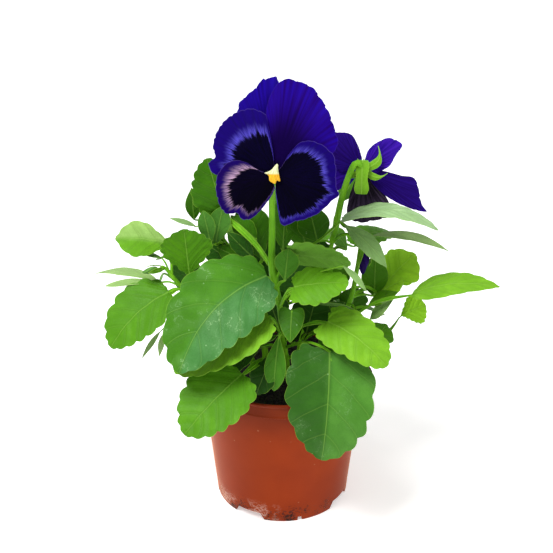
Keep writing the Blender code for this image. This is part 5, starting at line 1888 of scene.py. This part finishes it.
@dataclass(frozen=True)
class Pot:
    """The thin plastic pot: its sizes, in millimetres."""

    rim_radius: float = 50.0
    height: float = 89.0
    foot_radius: float = 40.4
    wall: float = 1.3
    band: float = 9.0
    step: float = 1.4
    bead: float = 0.6
    floor: float = 6.5
    floor_thickness: float = 1.5
    notches: tuple[tuple[float, float, float, float], ...] = ((-30, 15.0, 3.0, 4.6), (15, 2.4, 0.3, 2.6))
    drains: int = 6
    turns: int = 192
    SKIRT: ClassVar[float] = 6.2

    def wall_radius(self, z: float) -> float:
        """The outer radius below the rim band.

        Args:
            z: The height.

        Returns:
            The radius.
        """
        top = self.rim_radius - self.step
        return self.foot_radius + (top - self.foot_radius) * z / (self.height - self.band)

    def profile(self) -> list[tuple[float, float]]:
        """The wall's section, as (radius, height), from the floor's middle round to its underside.

        Returns:
            The points.
        """
        foot = self.height - self.band
        inner = self.rim_radius - self.bead - self.wall
        under = self.wall_radius(foot)
        low = self.wall_radius(self.floor) - self.wall
        outer = self.rim_radius - self.bead
        lip = [(self.rim_radius - 0.5 + 0.5 * math.sin(a), self.height - 0.5 + 0.5 * math.cos(a))
               for a in np.linspace(0, math.pi / 2, 5)]
        return [
            (0.0, self.floor), (low - 1.0, self.floor), (low, self.floor + 1.0),
            (under - self.wall, foot - 1.0), (inner, self.height - 0.5), (inner + 0.15, self.height - 0.15),
            (inner + 0.5, self.height), *lip, (self.rim_radius, self.height - 1.2),
            (outer + 0.25, self.height - 1.7), (outer, self.height - 2.0), (outer, foot + 1.6),
            (outer + 0.12, foot + 1.1), (outer + 0.38, foot + 0.6), (outer + 0.34, foot + 0.2),
            (under + 0.3, foot - 0.3), (under, foot - 0.6),
            *[(self.wall_radius(z), z) for z in (66.0, 52.0, 38.0, 24.0, 12.0, self.SKIRT)],
            (self.foot_radius + 0.12, 0.35), (self.foot_radius, 0.0), (self.foot_radius - self.wall, 0.0),
            (low, self.floor - self.floor_thickness),
            (0.0, self.floor - self.floor_thickness),
        ]

    def turned(self) -> bpy.types.Object:
        """The whole wall, turned about the pot's axis.

        Returns:
            The object.
        """
        bm = bmesh.new()
        rings = []
        for radius, z in self.profile():
            if radius == 0:
                rings.append([bm.verts.new((0, 0, z * MM))])
                continue
            rings.append([bm.verts.new((radius * MM * math.cos(a), radius * MM * math.sin(a), z * MM))
                          for a in np.linspace(0, 2 * math.pi, self.turns, endpoint=False)])
        for lower, upper in zip(rings, rings[1:]):
            for i in range(self.turns):
                j = (i + 1) % self.turns
                corners = [lower[i % len(lower)], lower[j % len(lower)], upper[j % len(upper)], upper[i % len(upper)]]
                bm.faces.new(list(dict.fromkeys(corners)))
        bmesh.ops.recalc_face_normals(bm, faces=bm.faces)
        return plain_object("dressed_pot", bm)

    def notch(self, angle: float, width: float, flare: float, height: float) -> bpy.types.Object:
        """A wedge that cuts the skirt.

        Args:
            angle: Where it cuts, in degrees from straight ahead.
            width: Its width at the top.
            flare: How much wider it is at the ground, on each side.
            height: Its height.

        Returns:
            The cutter.
        """
        bm = bmesh.new()
        bmesh.ops.create_cube(bm, size=1.0)
        for vert in bm.verts:
            half = width / 2 + (flare if vert.co.z < 0 else 0)
            vert.co.x = math.copysign(half, vert.co.x)
            vert.co.y = -self.foot_radius + (6.0 if vert.co.y > 0 else -6.0)
            vert.co.z = -1.0 if vert.co.z < 0 else height
        bmesh.ops.rotate(bm, cent=(0, 0, 0), matrix=Matrix.Rotation(math.radians(angle), 3, "Z"), verts=bm.verts)
        bmesh.ops.scale(bm, vec=(MM, MM, MM), verts=bm.verts)
        return plain_object("cutter", bm)

    def drain(self, angle: float) -> bpy.types.Object:
        """A round hole through the floor.

        Args:
            angle: Where it lies, in degrees.

        Returns:
            The cutter.
        """
        turn = math.radians(angle)
        bm = bmesh.new()
        bmesh.ops.create_cone(bm, cap_ends=True, segments=32, radius1=3.5 * MM, radius2=3.5 * MM, depth=8 * MM)
        spot = (27 * MM * math.sin(turn), -27 * MM * math.cos(turn), self.floor * MM)
        bmesh.ops.translate(bm, vec=spot, verts=bm.verts)
        return plain_object("cutter", bm)

    def make(self, finish: bpy.types.Material) -> None:
        """Makes the pot.

        Args:
            finish: Its material.
        """
        pot = self.turned()
        cutters = [self.notch(angle + 90 * quarter, *sizes) for quarter in range(4)
                   for angle, *sizes in self.notches]
        cutters += [self.drain(360 * hole / self.drains) for hole in range(self.drains)]
        helpers = bpy.data.collections.new("cutters")
        for cutter in cutters:
            bpy.context.scene.collection.objects.unlink(cutter)
            helpers.objects.link(cutter)
        bpy.context.scene.collection.children.link(helpers)
        cut = pot.modifiers.new("cut", "BOOLEAN")
        cut.operation, cut.operand_type, cut.collection, cut.solver = "DIFFERENCE", "COLLECTION", helpers, "EXACT"
        bpy.context.view_layer.update()
        graph = bpy.context.evaluated_depsgraph_get()
        mesh = bpy.data.meshes.new_from_object(pot.evaluated_get(graph), depsgraph=graph)
        pot.modifiers.remove(cut)
        pot.data = mesh
        for cutter in cutters:
            bpy.data.objects.remove(cutter, do_unlink=True)
        bpy.data.collections.remove(helpers)
        mesh.materials.clear()
        mesh.materials.append(finish)
        mesh.polygons.foreach_set("use_smooth", np.ones(len(mesh.polygons), bool))
        mesh.set_sharp_from_angle(angle=math.radians(38))
        settle(pot, "pot")


def plain_object(name: str, bm: bmesh.types.BMesh) -> bpy.types.Object:
    """A mesh under construction as an object.

    Args:
        name: The object's name.
        bm: The mesh under construction, in metres.

    Returns:
        The object.
    """
    mesh = bpy.data.meshes.new(name)
    bm.to_mesh(mesh)
    bm.free()
    obj = bpy.data.objects.new(name, mesh)
    bpy.context.scene.collection.objects.link(obj)
    return obj


@dataclass(frozen=True)
class Soil:
    """The compost in the pot, and the crumbs that lie on it."""

    edge: float = 81.5
    mound: float = 3.0
    lump: float = 1.3
    gap: float = 0.35
    rings: int = 44
    turns: int = 160

    def height(self, x: float, y: float, radius: float) -> float:
        """The soil's height at a place.

        Args:
            x: The place across.
            y: The place in depth.
            radius: The soil's own radius.

        Returns:
            The height.
        """
        reach = math.hypot(x, y) / radius
        lump = noise.noise(Vector((x * 0.13, y * 0.13, 3.7))) + 0.5 * noise.noise(Vector((x * 0.3, y * 0.3, 9.1)))
        crumb = 0.5 * noise.noise(Vector((x * 0.9, y * 0.9, 1.3))) + 0.3 * noise.noise(Vector((x * 2, y * 2, 5.0)))
        base = self.edge + self.mound * (1 - reach**2) + self.lump * lump * (1.2 - 0.6 * reach)
        return base + crumb * 0.9 - 0.5

    def make(self, pot: Pot, finish: bpy.types.Material) -> None:
        """Makes the soil's body and its crumbs.

        Args:
            pot: The pot that holds it.
            finish: Its material.
        """
        bottom = pot.floor + self.gap
        low = pot.wall_radius(pot.floor) - pot.wall - self.gap
        high = pot.wall_radius(self.edge - 3) - pot.wall - self.gap
        bm = bmesh.new()
        angles = np.linspace(0, 2 * math.pi, self.turns, endpoint=False)
        rings = [[bm.verts.new((low * math.cos(a), low * math.sin(a), bottom)) for a in angles]]
        for step in range(self.rings):
            radius = high * (1 - step / self.rings)
            ring = []
            for a in angles:
                x, y = radius * math.cos(a), radius * math.sin(a)
                ring.append(bm.verts.new((x, y, self.height(x, y, high))))
            rings.append(ring)
        for lower, upper in zip(rings, rings[1:]):
            for i in range(self.turns):
                j = (i + 1) % self.turns
                bm.faces.new((lower[i], lower[j], upper[j], upper[i]))
        crown = bm.verts.new((0, 0, self.height(0, 0, high)))
        base = bm.verts.new((0, 0, bottom))
        for i in range(self.turns):
            j = (i + 1) % self.turns
            bm.faces.new((rings[-1][i], rings[-1][j], crown))
            bm.faces.new((rings[0][j], rings[0][i], base))
        bmesh.ops.recalc_face_normals(bm, faces=bm.faces)
        bmesh.ops.scale(bm, vec=(MM, MM, MM), verts=bm.verts)
        body = plain_object("compost", bm)
        body.data.materials.append(finish)
        crumbs = grown(body, self.scatter(), {"Density": 90000.0, "Finish": finish}, "compost_crumbs")
        settle(body, "soil")
        settle(crumbs, "soil")

    def scatter(self) -> bpy.types.NodeTree:
        """The tree that strews crumbs over the soil's top.

        Returns:
            The tree, with Density and Finish as its inputs.
        """
        tree = bpy.data.node_groups.new("strew_crumbs", "GeometryNodeTree")
        tree.interface.new_socket("Geometry", in_out="INPUT", socket_type="NodeSocketGeometry")
        tree.interface.new_socket("Density", in_out="INPUT", socket_type="NodeSocketFloat")
        tree.interface.new_socket("Finish", in_out="INPUT", socket_type="NodeSocketMaterial")
        tree.interface.new_socket("Geometry", in_out="OUTPUT", socket_type="NodeSocketGeometry")
        graph = Graph(tree)
        taken = graph.node("NodeGroupInput").outputs
        normal = graph.node("GeometryNodeInputNormal")
        upward = graph.math("GREATER_THAN", graph.split(normal.outputs[0])[2], 0.4)
        points = graph.node("GeometryNodeDistributePointsOnFaces")
        graph.put(points.inputs["Mesh"], taken["Geometry"])
        graph.put(points.inputs["Density"], taken["Density"])
        graph.put(points.inputs["Selection"], upward)
        points.inputs["Seed"].default_value = 7
        crumb = graph.node("GeometryNodeMeshIcoSphere")
        crumb.inputs["Radius"].default_value = MM
        crumb.inputs["Subdivisions"].default_value = 1
        turned = graph.node("FunctionNodeRandomValue", data_type="FLOAT_VECTOR")
        turned.inputs["Min"].default_value = (0.0, 0.0, 0.0)
        turned.inputs["Max"].default_value = (6.28, 6.28, 6.28)
        turned.inputs["Seed"].default_value = 3
        sized = graph.node("FunctionNodeRandomValue", data_type="FLOAT_VECTOR")
        sized.inputs["Min"].default_value = (0.25, 0.2, 0.15)
        sized.inputs["Max"].default_value = (1.1, 0.8, 0.6)
        sized.inputs["Seed"].default_value = 5
        copies = graph.node("GeometryNodeInstanceOnPoints")
        graph.put(copies.inputs["Points"], points.outputs["Points"])
        graph.put(copies.inputs["Instance"], crumb.outputs["Mesh"])
        graph.put(copies.inputs["Rotation"], turned.outputs[0])
        graph.put(copies.inputs["Scale"], sized.outputs[0])
        real = graph.node("GeometryNodeRealizeInstances")
        graph.put(real.inputs["Geometry"], copies.outputs["Instances"])
        dressed = graph.node("GeometryNodeSetMaterial")
        graph.put(dressed.inputs["Geometry"], real.outputs["Geometry"])
        graph.put(dressed.inputs["Material"], taken["Finish"])
        graph.put(graph.node("NodeGroupOutput").inputs["Geometry"], dressed.outputs["Geometry"])
        return tree


@dataclass(frozen=True)
class Scrap:
    """A dead scrap of leaf that lies over the rim."""

    node: str
    angle: float
    width: float
    path: tuple[tuple[float, float], ...] = ((43.5, 85.6), (47.0, 90.2), (50.2, 90.4), (52.4, 88.6), (54.0, 84.6))

    def make(self, finish: bpy.types.Material) -> None:
        """Makes the scrap.

        Args:
            finish: Its material.
        """
        path = smooth_line(self.path, 22)
        columns = 13
        grid = np.zeros((len(path), columns, 3))
        places = np.zeros((len(path), columns, 2))
        for i, (radius, height) in enumerate(path):
            share = 4 * i / (len(path) - 1)
            for j in range(columns):
                side = j / (columns - 1) - 0.5
                torn = 0.66 + 0.26 * math.sin(2.1 * share + 9 * side) + 0.06 * math.sin(9 * share + 20 * side)
                turn = math.radians(self.angle) + self.width * side * torn / radius
                curl = 0.25 * math.sin(7 * side + 3 * share)
                grid[i, j] = (radius * math.sin(turn), -radius * math.cos(turn), height + curl)
                places[i, j] = (share / 4, side + 0.5)
        out = np.cross(np.gradient(grid, axis=1), np.gradient(grid, axis=0))
        if float(out[..., 2].sum()) < 0:
            grid, places = grid[:, ::-1], places[:, ::-1]
        batch = Batch("dressed_" + self.node)
        flat = np.full(grid.shape[:2], 0.3)
        batch.sheet(grid, flat, np.zeros(flat.shape), places, {})
        batch.piece(self.node, "withered", finish)


@dataclass(frozen=True)
class Studio:
    """The pale floor, the soft light and the camera."""

    camera: Point = (-3.6, -700.0, 517.0)
    tilt: float = 62.1
    lens: float = 88.6

    def make(self) -> None:
        """Makes the floor, the lights and the camera."""
        scene = bpy.context.scene
        scene.view_settings.view_transform = "Standard"
        world = bpy.data.worlds.new("studio")
        world.use_nodes = True
        sky = world.node_tree.nodes["Background"]
        sky.inputs["Color"].default_value = (1.0, 1.0, 1.0, 1.0)
        sky.inputs["Strength"].default_value = 0.52
        scene.world = world
        bm = bmesh.new()
        bmesh.ops.create_grid(bm, x_segments=1, y_segments=1, size=3.0)
        floor = plain_object("floor", bm)
        made, graph, shader = Finish("floor", 0.9, bump=0.05, shine=0.1).start()
        shader.inputs["Base Color"].default_value = (0.93, 0.93, 0.93, 1.0)
        shader.inputs["Emission Color"].default_value = (1.0, 1.0, 1.0, 1.0)
        shader.inputs["Emission Strength"].default_value = 0.42
        floor.data.materials.append(made)
        floor.location.z = -0.0002
        for name, spot, size, power in (("key", (-0.42, -0.40, 1.25), 0.55, 21.0), ("fill", (0.9, -0.5, 0.6), 0.9, 3.0)):
            light = bpy.data.lights.new(name, "AREA")
            light.size, light.energy = size, power
            lamp = bpy.data.objects.new(name, light)
            lamp.location = spot
            lamp.rotation_euler = (Vector((0.0, 0.0, 0.14)) - Vector(spot)).to_track_quat("-Z", "Y").to_euler()
            scene.collection.objects.link(lamp)
        lens = bpy.data.cameras.new("camera")
        lens.sensor_width, lens.lens = 36.0, self.lens
        lens.clip_start, lens.clip_end = 0.05, 20.0
        camera = bpy.data.objects.new("camera", lens)
        camera.location = Vector(self.camera) * MM
        camera.rotation_euler = (math.radians(self.tilt), 0.0, 0.0)
        scene.collection.objects.link(camera)
        scene.camera = camera


def throat_finish() -> bpy.types.Material:
    """The throat patch's orange, with paler tongues and fine hairs.

    Returns:
        The material.
    """
    look = Finish("throat", 0.6, sheen=0.1, bump=0.3, shine=0.2)
    made, graph, shader = look.start()
    x, y, out = graph.split(graph.value("way"))
    rays = graph.noise(graph.join(graph.math("MULTIPLY", x, 2.4), graph.math("MULTIPLY", y, 0.5)), 1.0, 2.0)
    colour = graph.mix(graph.step(rays, 0.35, 0.65), (0.72, 0.42, 0.012), (0.52, 0.24, 0.006))
    cream = graph.mix(graph.step(rays, 0.35, 0.65), (0.66, 0.66, 0.42), (0.40, 0.44, 0.16))
    level = graph.math("MULTIPLY_ADD", rays, 1.2, graph.math("SUBTRACT", y, 0.6))
    colour = graph.mix(graph.step(level, -0.3, 0.7), colour, cream)
    graph.put(shader.inputs["Base Color"], colour)
    look.relief(graph, shader, rays)
    return made


def bud_finish(name: str, light: Colour, dark: Colour) -> bpy.types.Material:
    """The furled petals' violet, lighter along each fold.

    Args:
        name: The material's name.
        light: The folds' colour.
        dark: The colour between them.

    Returns:
        The material.
    """
    look = Finish(name, 0.55, shine=0.04, sheen=0.01, sheen_tint=(0.6, 0.5, 1.0), bump=0.15)
    made, graph, shader = look.start()
    share, fold, turn = graph.split(graph.value("way"))
    rays = graph.noise(graph.join(graph.math("MULTIPLY", turn, 9.0), share), 1.0, 2.0)
    tint = graph.math("MULTIPLY_ADD", graph.step(fold, 0.55, 1.0), 0.55, graph.math("MULTIPLY", rays, 0.5))
    graph.put(shader.inputs["Base Color"], graph.mix(tint, dark, light))
    look.relief(graph, shader, rays)
    return made


def plastic_finish(speckle: bpy.types.NodeTree) -> bpy.types.Material:
    """The pot's moulded plastic, a little scuffed, with soil at its foot and a painted shadow towards its rim.

    Args:
        speckle: The shared dots.

    Returns:
        The material.
    """
    look = Finish("pot_plastic", 0.42, sheen=0.80, sheen_tint=(1.0, 0.44, 0.24), sheen_spread=0.24, bump=0.05,
                  shine=0.06)
    made, graph, shader = look.start()
    place = graph.place()
    x, y, z = graph.split(place)
    clouds = graph.noise(place, 22.0, 3.0, 0.55)
    grain = graph.noise(place, 1800.0, 2.0, 0.6)
    colour = graph.mix(graph.step(clouds, 0.35, 0.68), (0.255, 0.027, 0.0015), (0.212, 0.020, 0.0010))
    colour = graph.mix(graph.math("MULTIPLY", grain, 0.22), colour, (0.32, 0.060, 0.016))
    # Painted shadow: the plastic darkens towards the rim, where the leaves above shade it.
    painted_shadow_near_rim = graph.math("MULTIPLY", graph.step(graph.math("MULTIPLY_ADD", clouds, 0.012, z), 0.062, 0.096), 0.60)
    colour = graph.mix(painted_shadow_near_rim, colour, (0.085, 0.012, 0.004))
    dots = graph.node("ShaderNodeGroup", node_tree=speckle)
    graph.put(dots.inputs["Place"], place)
    dots.inputs["Size"].default_value = 420.0
    dots.inputs["Amount"].default_value = 0.006
    colour = graph.mix(graph.math("MULTIPLY", dots.outputs["Dots"], 0.4), colour, (0.40, 0.18, 0.10))
    drawn = graph.node("ShaderNodeMapping")
    graph.put(drawn.inputs["Vector"], place)
    drawn.inputs["Scale"].default_value = (1.0, 1.0, 1.6)
    flecks = graph.noise(drawn.outputs[0], 620.0, 3.0, 0.75)
    heaps = graph.noise(place, 95.0, 2.0)
    near_foot = graph.math("MULTIPLY", graph.step(z, 0.016, 0.002), graph.step(y, 0.0, -0.02))
    chalk = graph.math("MULTIPLY", graph.step(flecks, 0.46, 0.54), graph.step(heaps, 0.54, 0.44))
    chalk = graph.math("MULTIPLY", chalk, graph.math("MULTIPLY", near_foot, graph.step(x, 0.002, -0.008)))
    colour = graph.mix(graph.math("MULTIPLY", chalk, 0.75), colour, (0.62, 0.42, 0.34))
    dirt = graph.math("MULTIPLY_ADD", near_foot, 0.06, graph.math("MULTIPLY_ADD", heaps, 0.55, flecks))
    dirt = graph.math("MULTIPLY", graph.step(dirt, 0.885, 0.93), graph.math("POWER", near_foot, 0.5))
    colour = graph.mix(graph.math("MULTIPLY", dirt, 0.95), colour, (0.018, 0.010, 0.008))
    scuffs = graph.math("ADD", chalk, dirt)
    graph.put(shader.inputs["Base Color"], colour)
    graph.put(shader.inputs["Roughness"], graph.math("MULTIPLY_ADD", grain, 0.18, 0.34))
    look.relief(graph, shader, graph.math("MULTIPLY_ADD", grain, 0.6, scuffs))
    return made


def main() -> None:
    """Builds and dresses the plant, piece by piece, then the studio."""
    logging.basicConfig(level=logging.INFO, format="%(name)s: %(message)s")
    speckle = speckle_effect()
    leaf = Finish("leaf_blade", 0.45, bump=0.30, shine=0.10).leaf(leaf_effect(speckle))
    stem = Finish("stem", 0.42, bump=0.12, shine=0.10).mottled((0.17, 0.43, 0.016), (0.095, 0.29, 0.008), 180.0,
                                                              (1.0, 1.0, 0.2))
    greenery = Greenery(leaf, stem)
    for shoot in SHOOTS:
        greenery.make(shoot)
    effect = petal_effect()
    for bloom, rows, columns in ((MAIN_BLOOM, 44, 132), (SIDE_BLOOM, 30, 80)):
        sheet = PetalSheet(bloom)
        for petal in bloom.petals:
            look = Finish(petal.node, 0.60, sheen=0.01, sheen_tint=(0.30, 0.22, 1.0), bump=0.20, shine=0.015)
            sheet.make(petal, look.petal(effect, petal.marks), rows, columns)
    Throat(MAIN_BLOOM).make(throat_finish())
    furled = bud_finish("furled_petals", (0.018, 0.005, 0.10), (0.005, 0.001, 0.03))
    green = bud_finish("green_bud", (0.16, 0.36, 0.06), (0.05, 0.14, 0.03))
    for plan, finish in zip(BUDS, (furled, green)):
        Bud(plan).make(finish)
    pot = Pot()
    pot.make(plastic_finish(speckle))
    Soil().make(pot, Finish("compost", 0.95, bump=0.8, shine=0.2).mottled((0.035, 0.026, 0.022), (0.006, 0.006, 0.008), 240.0))
    withered = Finish("withered", 0.85, bump=0.3, shine=0.2).mottled((0.10, 0.055, 0.03), (0.012, 0.010, 0.009), 300.0)
    for scrap in (Scrap("scrap_left", -78.0, 7.0), Scrap("scrap_right", 82.0, 6.0)):
        scrap.make(withered)
    Studio().make()


if __name__ == "__main__":
    main()
